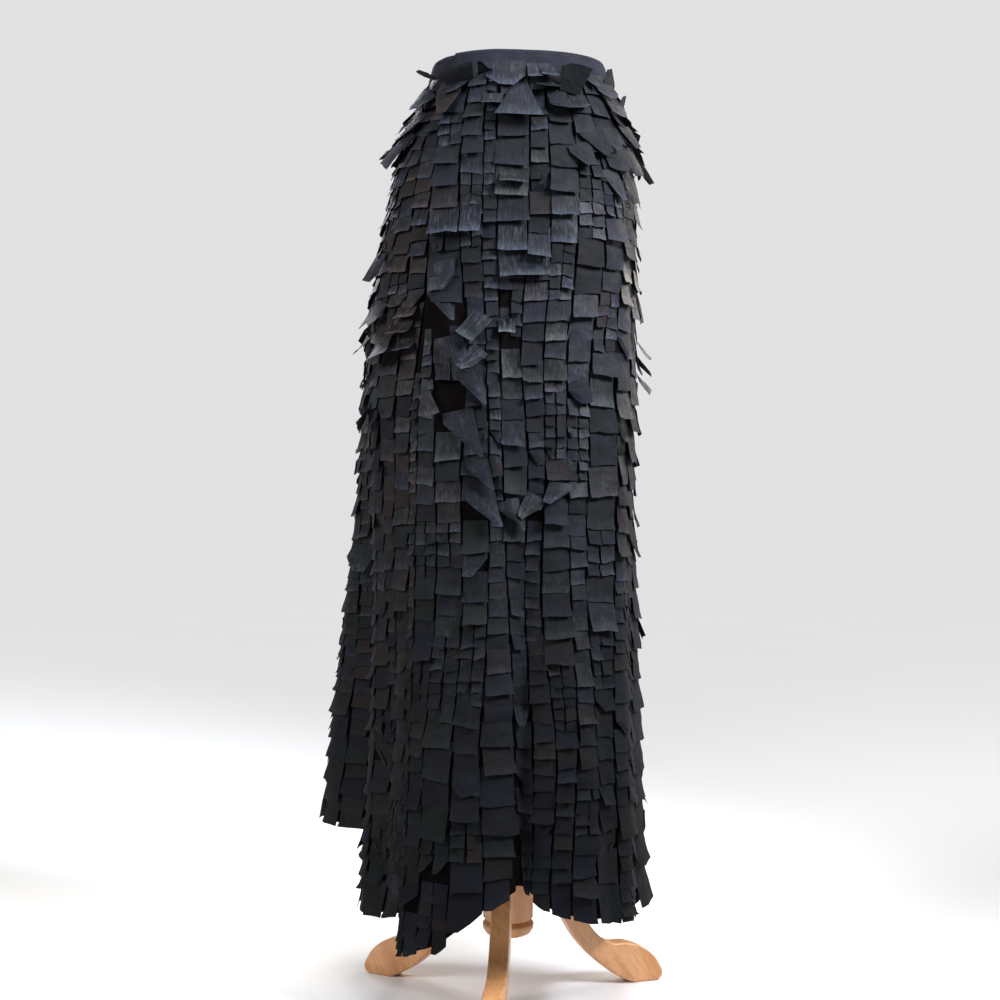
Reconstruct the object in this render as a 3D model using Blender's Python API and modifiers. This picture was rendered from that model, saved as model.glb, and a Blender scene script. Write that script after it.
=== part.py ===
"""A long wrap skirt covered with sewn-down ribbon tabs, worn by a limbless skirt form on a wooden tripod.

Metres, +Z up. Angles are in degrees round the pole, 0 towards -Y and growing towards +X.
The cloth follows one surface, worked out from SECTIONS and FOLDS. Every panel is a wall on that
surface, and its tabs are raised in the wall's outer points, column by column, over a plain inside.
"""

import math
import random
from collections import namedtuple

import bmesh
import bpy
from mathutils import Vector

# The middle of the waist: it puts the middle of the whole object's box over the origin.
WAIST_X = 0.028
WAIST_Y = -0.008
# The skirt hangs a little to one side of its stand's pole.
POLE_X = WAIST_X - 0.007
POLE_Y = WAIST_Y

# Garment
WAIST_TOP = 1.102
BAND_HEIGHT = 0.030
BAND_MIDDLE = WAIST_TOP - BAND_HEIGHT / 2
CLOTH = 0.0025
SEAM_GAP_DEG = 0.1
BAND_GAP = 0.0003
BAND_STEPS = 84
LAP_LIFT = 0.0046
LAP_END = -22.0
LIFT_GONE = 12.0
WRAP_EDGE_TOP = -45.0
WRAP_EDGE_HEM = -47.0
FRONT_SEAM_TOP = -10.0
FRONT_SEAM_HEM = 0.0
RIGHT_SEAM = 94.0
BACK_SEAM = 180.0
LEFT_SEAM = 262.0
VENT_TOP = 0.270
VENT_HALF_DEG = 2.2

# The waist is lower in front than behind, down to DIP_FLOOR, and a fold is full at FOLD_FULL.
WAIST_DIP = 0.0065
DIP_FLOOR = 0.900
FOLD_FULL = 0.150

# Tabs: a column's pitch follows its width at MID_HEIGHT. A tab starts TAB_ROOT above the wall,
# stands TAB_TIP off it at its free end, and is hollowed under that end by its tuck.
MID_HEIGHT = 0.600
TAB_ASPECT = 1.25
TAB_LEAST = 0.032
TAB_MOST = 0.045
TAB_JITTER = 0.16
GROOVE = 0.0010
TAB_ROOT = 0.0006
TAB_TIP = 0.0052
TAB_TIP_RANGE = (0.75, 1.35)
TAB_TUCK = 0.008
TAB_DROP = 0.004
TAB_TILT = 0.003
TAB_LEAN = 0.25
# Above FLAP_FLOOR the tabs are lifted more and more towards the waist.
FLAP_FLOOR = 0.930
FLAP_FULL = 1.050
FLAP_TIP = 0.017
FLAP_TUCK = 0.55

# Form and stand
FORM_TOP = 1.0990
FORM_BOTTOM = 0.660
FORM_SIDES = 56
HIP_HEIGHT = 0.800
FIT_GAP = 0.0003
POLE_SIDES = 28
POLE_RADIUS = 0.0300
LEG_WIDTH = 0.023
LEG_ROUNDING = 0.003

# Half-widths of the skirt's surface from the pole, without its folds, and how square the ring is.
Section = namedtuple("Section", "height left right front back squareness")
SECTIONS = [
    Section(1.110, 0.090, 0.102, 0.084, 0.086, 2.0),
    Section(1.100, 0.094, 0.105, 0.087, 0.090, 2.0),
    Section(1.070, 0.102, 0.115, 0.098, 0.101, 2.1),
    Section(1.030, 0.115, 0.126, 0.110, 0.118, 2.2),
    Section(1.000, 0.127, 0.134, 0.116, 0.130, 2.3),
    Section(0.940, 0.142, 0.139, 0.122, 0.145, 2.5),
    Section(0.850, 0.158, 0.139, 0.125, 0.153, 2.6),
    Section(0.750, 0.168, 0.139, 0.128, 0.157, 2.6),
    Section(0.600, 0.162, 0.137, 0.134, 0.163, 2.5),
    Section(0.450, 0.157, 0.138, 0.141, 0.171, 2.4),
    Section(0.300, 0.159, 0.142, 0.150, 0.181, 2.3),
    Section(0.150, 0.166, 0.146, 0.159, 0.188, 2.2),
    Section(0.050, 0.171, 0.149, 0.165, 0.192, 2.2),
]

# Soft vertical folds: depth is outwards at the hem, and a fold dies out at its top.
Fold = namedtuple("Fold", "angle half_width depth top")
FOLDS = [
    Fold(3.5, 11.0, -0.017, 0.62),
    Fold(-21.0, 24.0, 0.008, 0.70),
    Fold(26.0, 16.0, 0.013, 0.60),
    Fold(48.0, 12.0, 0.010, 0.85),
    Fold(70.0, 15.0, -0.008, 0.70),
    Fold(97.0, 14.0, 0.006, 0.60),
    Fold(126.0, 22.0, 0.022, 0.75),
    Fold(148.0, 18.0, -0.014, 0.65),
    Fold(172.0, 22.0, 0.022, 0.75),
    Fold(200.0, 18.0, -0.014, 0.65),
    Fold(243.0, 30.0, 0.088, 0.86),
    Fold(264.0, 12.0, -0.022, 0.66),
    Fold(282.0, 15.0, 0.010, 0.62),
    Fold(298.0, 13.0, -0.008, 0.55),
]

# The hem's height round each panel.
HemPoint = namedtuple("HemPoint", "angle height")
OVER_HEM = [
    HemPoint(-52, 0.076), HemPoint(-38, 0.086), HemPoint(-28, 0.099), HemPoint(-17, 0.126),
    HemPoint(-10, 0.142), HemPoint(2, 0.158),
]
FRONT_HEM = [
    HemPoint(-10, 0.160), HemPoint(4, 0.157), HemPoint(12, 0.139), HemPoint(22, 0.129),
    HemPoint(40, 0.118), HemPoint(62, 0.111), HemPoint(95, 0.113),
]
BACK_HEM = [
    HemPoint(90, 0.212), HemPoint(122, 0.200), HemPoint(150, 0.204), HemPoint(180, 0.196),
    HemPoint(210, 0.198), HemPoint(240, 0.188), HemPoint(265, 0.190),
]
UNDER_HEM = [
    HemPoint(260, 0.126), HemPoint(275, 0.115), HemPoint(292, 0.110), HemPoint(310, 0.120),
    HemPoint(322, 0.140), HemPoint(340, 0.160),
]

# Heights where a panel has a ring of points, as far down as its own hem lets it.
RING_HEIGHTS = [
    1.045, 1.015, 0.980, 0.935, 0.870, 0.785, 0.690, 0.590, 0.490, 0.395, 0.305, 0.235, 0.180,
]
LEAST_LAST_ROW = 0.010

# A turned pole's outline: from the form's underside down to the ringed lower end.
PoleStep = namedtuple("PoleStep", "height radius")
POLE_OUTLINE = [
    PoleStep(FORM_BOTTOM - FIT_GAP, 0.0165),
    PoleStep(0.290, 0.0165),
    PoleStep(0.284, 0.0235),
    PoleStep(0.272, 0.0270),
    PoleStep(0.260, 0.0235),
    PoleStep(0.253, 0.0200),
    PoleStep(0.240, POLE_RADIUS),
    PoleStep(0.0925, POLE_RADIUS),
    PoleStep(0.0895, 0.0268),
    PoleStep(0.0865, 0.0295),
    PoleStep(0.0840, 0.0307),
    PoleStep(0.0780, 0.0295),
    PoleStep(0.0735, 0.0262),
    PoleStep(0.0710, 0.0210),
]

# The way each leg points, as the stand was set down.
Leg = namedtuple("Leg", "name angle")
LEGS = [Leg("leg_front", -6.5), Leg("leg_right", 109.0), Leg("leg_left", -118.0)]

# A leg's outline in its own upright plane: reach from the pole's axis, and height.
LegPoint = namedtuple("LegPoint", "reach height corner")
LEG_OUTLINE = [
    LegPoint(POLE_RADIUS + FIT_GAP, 0.205, True),
    LegPoint(0.054, 0.178, False),
    LegPoint(0.082, 0.116, False),
    LegPoint(0.106, 0.069, False),
    LegPoint(0.128, 0.052, False),
    LegPoint(0.152, 0.049, False),
    LegPoint(0.177, 0.038, False),
    LegPoint(0.193, 0.020, False),
    LegPoint(0.197, 0.007, False),
    LegPoint(0.191, 0.0, True),
    LegPoint(0.159, 0.0, True),
    LegPoint(0.138, 0.010, False),
    LegPoint(0.112, 0.029, False),
    LegPoint(0.086, 0.056, False),
    LegPoint(0.060, 0.098, False),
    LegPoint(POLE_RADIUS + FIT_GAP, 0.140, True),
]


def clear_scene():
    for item in list(bpy.data.objects):
        bpy.data.objects.remove(item, do_unlink=True)


def material(name, colour, roughness, metallic=0.0):
    made = bpy.data.materials.new(name)
    made.use_nodes = True
    shader = made.node_tree.nodes["Principled BSDF"]
    shader.inputs["Base Color"].default_value = (*colour, 1.0)
    shader.inputs["Roughness"].default_value = roughness
    shader.inputs["Metallic"].default_value = metallic
    made.diffuse_color = (*colour, 1.0)
    return made


def smooth_step(share):
    share = min(1.0, max(0.0, share))
    return share * share * (3.0 - 2.0 * share)


def smooth_value(rows, where, column, place):
    """A table's column at a place between its rows, as a smooth curve through them."""
    rows = sorted(rows, key=lambda row: getattr(row, where))
    places = [getattr(row, where) for row in rows]
    values = [getattr(row, column) for row in rows]
    if place <= places[0]:
        return values[0]
    if place >= places[-1]:
        return values[-1]
    k = next(i for i in range(len(places) - 1) if place <= places[i + 1])
    span = places[k + 1] - places[k]

    def slope(i):
        before, after = max(0, i - 1), min(len(places) - 1, i + 1)
        return (values[after] - values[before]) / (places[after] - places[before])

    t = (place - places[k]) / span
    return (
        values[k] * (2 * t**3 - 3 * t**2 + 1)
        + slope(k) * span * (t**3 - 2 * t**2 + t)
        + values[k + 1] * (3 * t**2 - 2 * t**3)
        + slope(k + 1) * span * (t**3 - t**2)
    )


def angle_between(first, second):
    return (first - second + 180.0) % 360.0 - 180.0


def ring_radius(angle, height):
    """The skirt's surface without folds: an oval of four unlike quarters, a little square."""
    across, along = math.sin(math.radians(angle)), math.cos(math.radians(angle))
    side = smooth_value(SECTIONS, "height", "right" if across >= 0 else "left", height)
    depth = smooth_value(SECTIONS, "height", "front" if along >= 0 else "back", height)
    power = smooth_value(SECTIONS, "height", "squareness", height)
    return (abs(across / side) ** power + abs(along / depth) ** power) ** (-1.0 / power)


def fold_depth(angle, height):
    total = 0.0
    for fold in FOLDS:
        away = abs(angle_between(angle, fold.angle)) / fold.half_width
        if away < 1.0 and height < fold.top:
            down = (fold.top - height) / (fold.top - FOLD_FULL)
            grown = down + down**2 - down**3
            total += fold.depth * grown * 0.5 * (1.0 + math.cos(math.pi * away))
    return total


def waist_dip(angle, height):
    """The waist sits lower in front than behind; this fades out down the hip."""
    near = smooth_step((height - DIP_FLOOR) / (WAIST_TOP - DIP_FLOOR))
    return -WAIST_DIP * near * math.cos(math.radians(angle))


def around(angle, radius, height):
    turn = math.radians(angle)
    across = WAIST_X + radius * math.sin(turn)
    return Vector((across, WAIST_Y - radius * math.cos(turn), height + waist_dip(angle, height)))


def surface_spot(angle, height):
    return around(angle, ring_radius(angle, height) + fold_depth(angle, height), height)


def skirt_point(angle, height, out=0.0):
    """A point on the skirt's surface, moved level along the ring's outward normal."""
    spot = surface_spot(angle, height)
    if not out:
        return spot
    along = surface_spot(angle + 0.6, height) - surface_spot(angle - 0.6, height)
    return spot + out * Vector((along.y, -along.x, 0.0)).normalized()


def lap_lift(angle):
    """How far the wrap's top layer stands out over the underlap."""
    share = (angle - LAP_END) / (LIFT_GONE - LAP_END)
    return LAP_LIFT * (1.0 - smooth_step(share))


def no_lift(angle):
    return 0.0


class Shell:
    """Collects a closed wall's points and faces."""

    def __init__(self):
        self.mesh = bmesh.new()

    def point(self, place):
        return self.mesh.verts.new(place)

    def face(self, *corners):
        self.mesh.faces.new(corners)

    def zip_lines(self, first, second, first_at, second_at):
        """Triangles between two lines of points, stepping along whichever lags behind."""
        i = j = 0
        while i < len(first) - 1 or j < len(second) - 1:
            step_first = j == len(second) - 1 or (
                i < len(first) - 1 and first_at[i + 1] <= second_at[j + 1]
            )
            if step_first:
                self.face(first[i], first[i + 1], second[j])
                i += 1
            else:
                self.face(first[i], second[j + 1], second[j])
                j += 1

    def grid(self, first, second):
        """Four-sided faces between two lines of as many points."""
        for k in range(len(first) - 1):
            self.face(first[k], first[k + 1], second[k + 1], second[k])

    def tube(self, rings):
        """A closed skin along rings of points, capped at both ends."""
        for one, two in zip(rings, rings[1:]):
            self.grid([*one, one[0]], [*two, two[0]])
        self.face(*rings[0])
        self.face(*rings[-1])

    def finish(self, name, finish_material, collection):
        bmesh.ops.recalc_face_normals(self.mesh, faces=self.mesh.faces)
        data = bpy.data.meshes.new(name)
        self.mesh.to_mesh(data)
        self.mesh.free()
        made = bpy.data.objects.new(name, data)
        made.data.materials.append(finish_material)
        collection.objects.link(made)
        return made


def tab_ends(width, length, chance):
    """Where the tabs of one column end, as shares of its length."""
    pitch = min(TAB_MOST, max(TAB_LEAST, width * TAB_ASPECT))
    count = max(3, round(length / pitch))
    steps = [1.0 + chance.uniform(-TAB_JITTER, TAB_JITTER) for _ in range(count)]
    return [sum(steps[: k + 1]) / sum(steps) for k in range(count)]


def tab_tip(start, end, chance):
    """How far a tab's free end stands off the wall, and how far up it is hollowed behind."""
    tip = TAB_TIP * chance.uniform(*TAB_TIP_RANGE)
    tuck = TAB_TUCK
    if start > FLAP_FLOOR:
        lifted = smooth_step((start - FLAP_FLOOR) / (FLAP_FULL - FLAP_FLOOR))
        tip += FLAP_TIP * lifted * chance.uniform(0.1, 1.0)
        tuck += FLAP_TUCK * lifted * (start - end)
    return tip, tuck


def tab_column(shell, panel, left, right, top, hem, chance):
    """One column of tabs. Returns its two side lines of points, with their heights."""
    middle = 0.5 * (left(MID_HEIGHT) + right(MID_HEIGHT))
    across = skirt_point(right(MID_HEIGHT), MID_HEIGHT) - skirt_point(left(MID_HEIGHT), MID_HEIGHT)
    ends = tab_ends(across.length, top - hem(middle), chance)
    lines = [[], []]
    heights = [[], []]

    def add(side, height, out, lower=0.0):
        """A point GROOVE inside the column's left (0) or right (1) boundary."""
        low, high = left(height), right(height)
        wide = (skirt_point(high, height) - skirt_point(low, height)).length
        inset = GROOVE / wide
        angle = low + (high - low) * (inset if side == 0 else 1.0 - inset)
        spot = skirt_point(angle, height + lower, panel.lift(angle) + CLOTH + out)
        lines[side].append(shell.point(spot))
        heights[side].append(height + lower)

    start = top
    for side in (0, 1):
        add(side, top, TAB_ROOT)
    for share in ends:
        end = top + (hem(middle) - top) * share
        tip, tuck = tab_tip(start, end, chance)
        tilt = chance.uniform(-TAB_TILT, TAB_TILT)
        lean = chance.uniform(-TAB_LEAN, TAB_LEAN)
        for side, edge, sign in ((0, left, 1), (1, right, -1)):
            if share < 1.0:
                add(side, end, tip * (1.0 + sign * lean), sign * tilt)
                add(side, end, TAB_ROOT, tuck)
            else:
                add(side, hem(edge(end)), tip * (1.0 + sign * lean), -TAB_DROP)
                add(side, hem(edge(end)), TAB_ROOT)
        start = end
    for k in range(len(lines[0]) - 1):
        shell.face(lines[0][k], lines[1][k], lines[1][k + 1], lines[0][k + 1])
    return lines, heights


def panel_edges(panel):
    """The boundaries of a panel's columns: each gives an angle for a height."""
    total = sum(panel.widths)
    edges = []
    for k in range(len(panel.widths) + 1):
        share = sum(panel.widths[:k]) / total
        edges.append(lambda height, share=share: panel_angle(panel, share, height))
    for angle in panel.plain_to:
        edges.append(lambda height, angle=angle: angle)
    return edges


def panel_angle(panel, share, height):
    first = panel.start(height) + SEAM_GAP_DEG
    last = panel.end(height) - SEAM_GAP_DEG
    return first + (last - first) * share


def build_panel(panel, finish_material, collection):
    """A panel's wall: plain inside, grooves between columns, and tabs raised outside."""
    chance = random.Random(panel.seed)
    shell = Shell()
    top = WAIST_TOP - BAND_HEIGHT - BAND_GAP
    edges = panel_edges(panel)

    def hem(angle):
        return smooth_value(panel.hem, "angle", "height", angle)

    highest_hem = max(hem(edge(top)) for edge in edges)
    rings = [height for height in RING_HEIGHTS if height > highest_hem + LEAST_LAST_ROW]
    inner, grooves, levels = [], [], []
    for edge in edges:
        heights = [top, *rings, hem(edge(highest_hem))]
        spots = [(edge(height), height) for height in heights]
        inner.append([shell.point(skirt_point(a, h, panel.lift(a))) for a, h in spots])
        grooves.append([shell.point(skirt_point(a, h, panel.lift(a) + CLOTH)) for a, h in spots])
        levels.append([-height for height in heights])

    # The panel's upper and lower outer rims, and how many columns along each point of them is.
    upper, lower, along = [grooves[0][0]], [grooves[0][-1]], [0.0]
    for k in range(len(edges) - 1):
        shell.grid(inner[k], inner[k + 1])
        if k < len(panel.widths):
            lines, heights = tab_column(shell, panel, edges[k], edges[k + 1], top, hem, chance)
            for side in (0, 1):
                depths = [-height for height in heights[side]]
                shell.zip_lines(grooves[k + side], lines[side], levels[k + side], depths)
            upper += [lines[0][0], lines[1][0]]
            lower += [lines[0][-1], lines[1][-1]]
            along += [k + 0.1, k + 0.9]
        else:
            shell.grid(grooves[k], grooves[k + 1])
        upper.append(grooves[k + 1][0])
        lower.append(grooves[k + 1][-1])
        along.append(k + 1.0)

    inner_along = [float(k) for k in range(len(edges))]
    shell.zip_lines([line[0] for line in inner], upper, inner_along, along)
    shell.zip_lines([line[-1] for line in inner], lower, inner_along, along)
    for k in (0, -1):
        shell.grid(inner[k], grooves[k])
    return shell.finish(panel.name, finish_material, collection)


def wrap_edge(height):
    share = smooth_step((WAIST_TOP - height) / WAIST_TOP)
    return WRAP_EDGE_TOP + (WRAP_EDGE_HEM - WRAP_EDGE_TOP) * share


def front_seam(height):
    share = smooth_step((WAIST_TOP - height) / WAIST_TOP)
    return FRONT_SEAM_TOP + (FRONT_SEAM_HEM - FRONT_SEAM_TOP) * share


def vent_opening(height):
    return VENT_HALF_DEG * smooth_step((VENT_TOP - height) / 0.12)


# A panel runs from start to end, in columns of these relative widths, and then on to the angles
# in plain_to as plain cloth, where another panel covers it.
Panel = namedtuple("Panel", "name start end widths plain_to hem lift seed")
PANELS = [
    Panel(
        "over_panel", wrap_edge, lambda h: front_seam(h) - vent_opening(h),
        [1.25, 0.95, 0.8, 0.9], [], OVER_HEM, lap_lift, 11,
    ),
    Panel(
        "front_panel", lambda h: front_seam(h) + vent_opening(h), lambda h: RIGHT_SEAM,
        [1.25, 1.0, 1.1, 1.15, 0.75, 1.0, 1.1, 1.25, 1.2], [], FRONT_HEM, lap_lift, 23,
    ),
    Panel(
        "back_right_panel", lambda h: RIGHT_SEAM, lambda h: BACK_SEAM,
        [1.0, 0.8, 1.0, 0.85, 1.1, 0.9, 1.0, 0.8, 1.0], [], BACK_HEM, no_lift, 37,
    ),
    Panel(
        "back_left_panel", lambda h: BACK_SEAM, lambda h: LEFT_SEAM,
        [1.1, 0.9, 1.0, 0.8, 0.75, 0.65, 0.7, 0.65, 0.7, 0.6], [], BACK_HEM, no_lift, 41,
    ),
    Panel(
        "under_panel", lambda h: LEFT_SEAM, lambda h: 360.0 + wrap_edge(h) - 0.9,
        [0.8, 1.0, 0.9, 1.1, 0.9], [327.0, LAP_END + 356.0], UNDER_HEM, no_lift, 53,
    ),
]


def build_waistband(finish_material, collection):
    """One strip round the waist, its under end lapped inside its over end."""
    shell = Shell()
    first, last = WRAP_EDGE_TOP, 360.0 + LAP_END
    rings = []
    for k in range(BAND_STEPS + 1):
        angle = first + (last - first) * k / BAND_STEPS
        lift = lap_lift(angle)
        rows = [WAIST_TOP - BAND_HEIGHT, BAND_MIDDLE, WAIST_TOP]
        corners = [(h, lift) for h in rows] + [(h, lift + CLOTH) for h in reversed(rows)]
        rings.append([shell.point(skirt_point(angle, h, out)) for h, out in corners])
    shell.tube(rings)
    return shell.finish("waistband", finish_material, collection)


# How far the form stays inside the cloth, and its own girth below the hip.
FormRing = namedtuple("FormRing", "height gap girth")
FORM_RINGS = [
    FormRing(FORM_TOP, 0.0040, 1.0),
    FormRing(FORM_TOP - 0.0015, 0.0012, 1.0),
    FormRing(FORM_TOP - 0.005, FIT_GAP, 1.0),
    FormRing(BAND_MIDDLE, FIT_GAP, 1.0),
    FormRing(WAIST_TOP - BAND_HEIGHT, 0.0015, 1.0),
    FormRing(1.062, 0.0024, 1.0),
    FormRing(1.045, 0.0036, 1.0),
    FormRing(1.020, 0.0040, 1.0),
    FormRing(0.980, 0.0050, 1.0),
    FormRing(0.930, 0.0055, 1.0),
    FormRing(0.870, 0.0060, 0.99),
    FormRing(0.810, 0.0070, 0.97),
    FormRing(0.760, 0.0080, 0.93),
    FormRing(0.720, 0.0080, 0.87),
    FormRing(0.690, 0.0080, 0.77),
    FormRing(0.670, 0.0080, 0.64),
    FormRing(FORM_BOTTOM, 0.0080, 0.48),
]


def build_form(finish_material, collection):
    """A smooth skirt form from the waist to below the hip, closed at both ends."""
    shell = Shell()
    rings = []
    for row in FORM_RINGS:
        ring = []
        for k in range(FORM_SIDES):
            angle = 360.0 * k / FORM_SIDES
            radius = (ring_radius(angle, max(row.height, HIP_HEIGHT)) - row.gap) * row.girth
            ring.append(shell.point(around(angle, radius, row.height)))
        rings.append(ring)
    shell.tube(rings)
    made = shell.finish("hip_form", finish_material, collection)
    made.data.shade_smooth()
    made.data.set_sharp_from_angle(angle=math.radians(50))
    return made


def build_pole(finish_material, collection):
    """The centre column, turned about its own axis."""
    data = bpy.data.meshes.new("pole")
    spots = [(0.0, 0.0, POLE_OUTLINE[0].height)]
    spots += [(step.radius, 0.0, step.height) for step in POLE_OUTLINE]
    spots += [(0.0, 0.0, POLE_OUTLINE[-1].height)]
    data.from_pydata(spots, [(k, k + 1) for k in range(len(spots) - 1)], [])
    made = bpy.data.objects.new("pole", data)
    made.location = (POLE_X, POLE_Y, 0.0)
    turn = made.modifiers.new("turned", "SCREW")
    turn.steps = POLE_SIDES
    turn.render_steps = POLE_SIDES
    turn.use_merge_vertices = True
    turn.merge_threshold = 0.00005
    made.data.materials.append(finish_material)
    collection.objects.link(made)
    return made


def build_leg(name, angle, finish_material, collection):
    """A board leg cut to an S outline, its edges rounded, standing in an upright plane."""
    data = bpy.data.curves.new(name, "CURVE")
    data.dimensions = "2D"
    data.fill_mode = "BOTH"
    data.extrude = LEG_WIDTH / 2 - LEG_ROUNDING
    data.bevel_depth = LEG_ROUNDING
    data.bevel_resolution = 1
    data.offset = -LEG_ROUNDING
    data.resolution_u = 4
    line = data.splines.new("BEZIER")
    line.bezier_points.add(len(LEG_OUTLINE) - 1)
    line.use_cyclic_u = True
    for knot, row in zip(line.bezier_points, LEG_OUTLINE):
        knot.co = (row.reach, row.height, 0.0)
        kind = "VECTOR" if row.corner else "AUTO"
        knot.handle_left_type = kind
        knot.handle_right_type = kind
    made = bpy.data.objects.new(name, data)
    made.location = (POLE_X, POLE_Y, 0.0)
    made.rotation_euler = (math.radians(90), 0.0, math.radians(angle - 90.0))
    made.data.materials.append(finish_material)
    collection.objects.link(made)
    return made


def main():
    clear_scene()
    collection = bpy.data.collections.new("wrap_skirt_on_stand")
    bpy.context.scene.collection.children.link(collection)
    tab_cloth = material("tab_cloth", (0.018, 0.021, 0.030), 0.55)
    band_cloth = material("band_cloth", (0.016, 0.018, 0.027), 0.85)
    form_cover = material("form_cover", (0.56, 0.50, 0.42), 0.90)
    beech = material("beech", (0.62, 0.36, 0.17), 0.45)

    build_waistband(band_cloth, collection)
    for panel in PANELS:
        build_panel(panel, tab_cloth, collection)
    build_form(form_cover, collection)
    build_pole(beech, collection)
    for leg in LEGS:
        build_leg(leg.name, leg.angle, beech, collection)


main()
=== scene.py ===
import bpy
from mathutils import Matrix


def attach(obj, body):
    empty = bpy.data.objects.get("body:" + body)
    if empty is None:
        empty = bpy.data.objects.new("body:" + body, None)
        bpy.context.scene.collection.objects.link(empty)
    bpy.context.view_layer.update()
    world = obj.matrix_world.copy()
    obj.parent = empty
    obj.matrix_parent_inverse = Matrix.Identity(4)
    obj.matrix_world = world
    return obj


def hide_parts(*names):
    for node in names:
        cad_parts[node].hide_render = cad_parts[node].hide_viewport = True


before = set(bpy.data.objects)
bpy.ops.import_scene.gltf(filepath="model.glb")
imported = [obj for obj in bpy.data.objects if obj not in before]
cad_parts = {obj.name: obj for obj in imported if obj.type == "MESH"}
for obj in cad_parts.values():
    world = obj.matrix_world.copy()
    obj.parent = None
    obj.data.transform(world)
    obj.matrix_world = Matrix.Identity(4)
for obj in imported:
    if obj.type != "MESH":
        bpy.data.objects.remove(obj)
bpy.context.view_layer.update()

import math
import random
from collections import namedtuple

import bmesh
import bpy
from mathutils import Matrix, Vector, noise

# Metres, +Z up. Angles are in degrees round the waist, 0 towards -Y and growing towards +X.


def rowsOf(kind, columns, *rows):  # a table's rows, with the named columns given in millimetres
    def metres(row):
        return row._replace(**{name: getattr(row, name) / 1000 for name in columns.split()})
    return [metres(kind(*row)) for row in rows]


# The skirt's surface.
skirt = {
    "waistX": 0.028,
    "waistY": -0.008,
    "waistTop": 1.102,
    "bandHeight": 0.03,
    "seamGap": 0.0003,
    "lapLift": 0.0046,      # how far the wrap's top layer stands over the underlap
    "lapEnd": -22.0,
    "liftGone": 12.0,
    "rightSeam": 94.0,
    "backSeam": 180.0,
    "leftSeam": 262.0,
    "underEnd": 334.0,
    "waistDip": 0.0065,
    "dipFloor": 0.9,
    "foldFull": 0.15,
    "meanRadius": 0.14,
}
panelTop = skirt["waistTop"] - skirt["bandHeight"] - skirt["seamGap"]

Section = namedtuple("Section", "height left right front back squareness")
sections = rowsOf(
    Section, "height left right front back",
    (1110, 90, 102, 84, 86, 2.0), (1100, 94, 105, 87, 90, 2.0),
    (1070, 102, 115, 98, 101, 2.1), (1030, 115, 126, 110, 118, 2.2),
    (1000, 127, 134, 116, 130, 2.3), (940, 142, 139, 122, 145, 2.5),
    (850, 158, 139, 125, 153, 2.6), (750, 168, 139, 128, 157, 2.6),
    (600, 162, 137, 134, 163, 2.5), (450, 157, 138, 141, 171, 2.4),
    (300, 159, 142, 150, 181, 2.3), (150, 166, 146, 159, 188, 2.2),
    (50, 171, 149, 165, 192, 2.2),
)

Fold = namedtuple("Fold", "angle halfWidth depth top")
folds = rowsOf(
    Fold, "depth top",
    (3.5, 11.0, -17, 620), (-21.0, 24.0, 8, 700), (26.0, 16.0, 13, 600), (48.0, 12.0, 10, 850),
    (70.0, 15.0, -8, 700), (97.0, 14.0, 6, 600), (126.0, 22.0, 22, 750), (148.0, 18.0, -14, 650),
    (172.0, 22.0, 22, 750), (200.0, 18.0, -14, 650), (243.0, 30.0, 88, 860), (264.0, 12.0, -22, 660),
    (282.0, 15.0, 10, 620), (298.0, 13.0, -8, 550),
)

# Soft creases from one place to another: reach is the half-width, depth is outwards.
Crease = namedtuple("Crease", "angle1 height1 angle2 height2 reach depth")
creases = rowsOf(
    Crease, "height1 height2 reach depth",
    (-38, 840, -14, 650, 14, 3.5), (-14, 650, 4, 540, 12, 4.5), (30, 600, 8, 545, 11, 3),
    (-6, 780, 2, 690, 10, -2.2), (-30, 560, -18, 380, 16, -3), (38, 760, 52, 560, 17, 3.5),
    (22, 420, 30, 200, 16, 4), (60, 900, 74, 700, 15, -3), (80, 560, 92, 330, 18, 3.5),
    (106, 860, 122, 640, 18, 3.5), (140, 780, 128, 520, 16, -3), (160, 900, 176, 740, 15, 3),
    (186, 660, 204, 430, 18, 3.5), (214, 940, 232, 760, 16, 3.5), (250, 620, 238, 400, 18, -3.5),
    (276, 860, 268, 640, 16, 3), (300, 760, 288, 560, 16, 3.5), (306, 470, 296, 240, 16, -3),
)

HemPoint = namedtuple("HemPoint", "angle height")
overHem = rowsOf(
    HemPoint, "height",
    (-52, 76), (-38, 86), (-28, 99), (-17, 126), (-10, 142), (2, 158),
)
frontHem = rowsOf(
    HemPoint, "height",
    (-10, 160), (4, 157), (12, 139), (22, 129), (40, 118), (62, 111), (95, 113),
)
backHem = rowsOf(
    HemPoint, "height",
    (90, 212), (122, 200), (150, 204), (180, 196), (210, 198), (240, 188), (265, 190),
)
underHem = rowsOf(
    HemPoint, "height",
    (260, 126), (275, 115), (292, 110), (310, 120), (322, 140), (340, 160),
)


def smoothStep(share):
    share = min(1.0, max(0.0, share))
    return share * share * (3.0 - 2.0 * share)


def fade(value, start, wide):
    return smoothStep((value - start) / wide)


def smoothValue(rows, where, column, place):  # a table's column between its rows
    rows = sorted(rows, key=lambda row: getattr(row, where))
    places = [getattr(row, where) for row in rows]
    values = [getattr(row, column) for row in rows]
    if place <= places[0]:
        return values[0]
    if place >= places[-1]:
        return values[-1]
    k = next(i for i in range(len(places) - 1) if place <= places[i + 1])
    span = places[k + 1] - places[k]

    def slope(i):
        before, after = max(0, i - 1), min(len(places) - 1, i + 1)
        return (values[after] - values[before]) / (places[after] - places[before])

    t = (place - places[k]) / span
    return (
        values[k] * (2 * t**3 - 3 * t**2 + 1)
        + slope(k) * span * (t**3 - 2 * t**2 + t)
        + values[k + 1] * (3 * t**2 - 2 * t**3)
        + slope(k + 1) * span * (t**3 - t**2)
    )


def angleBetween(first, second):
    return (first - second + 180.0) % 360.0 - 180.0


sizesAtHeight = {}


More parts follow.
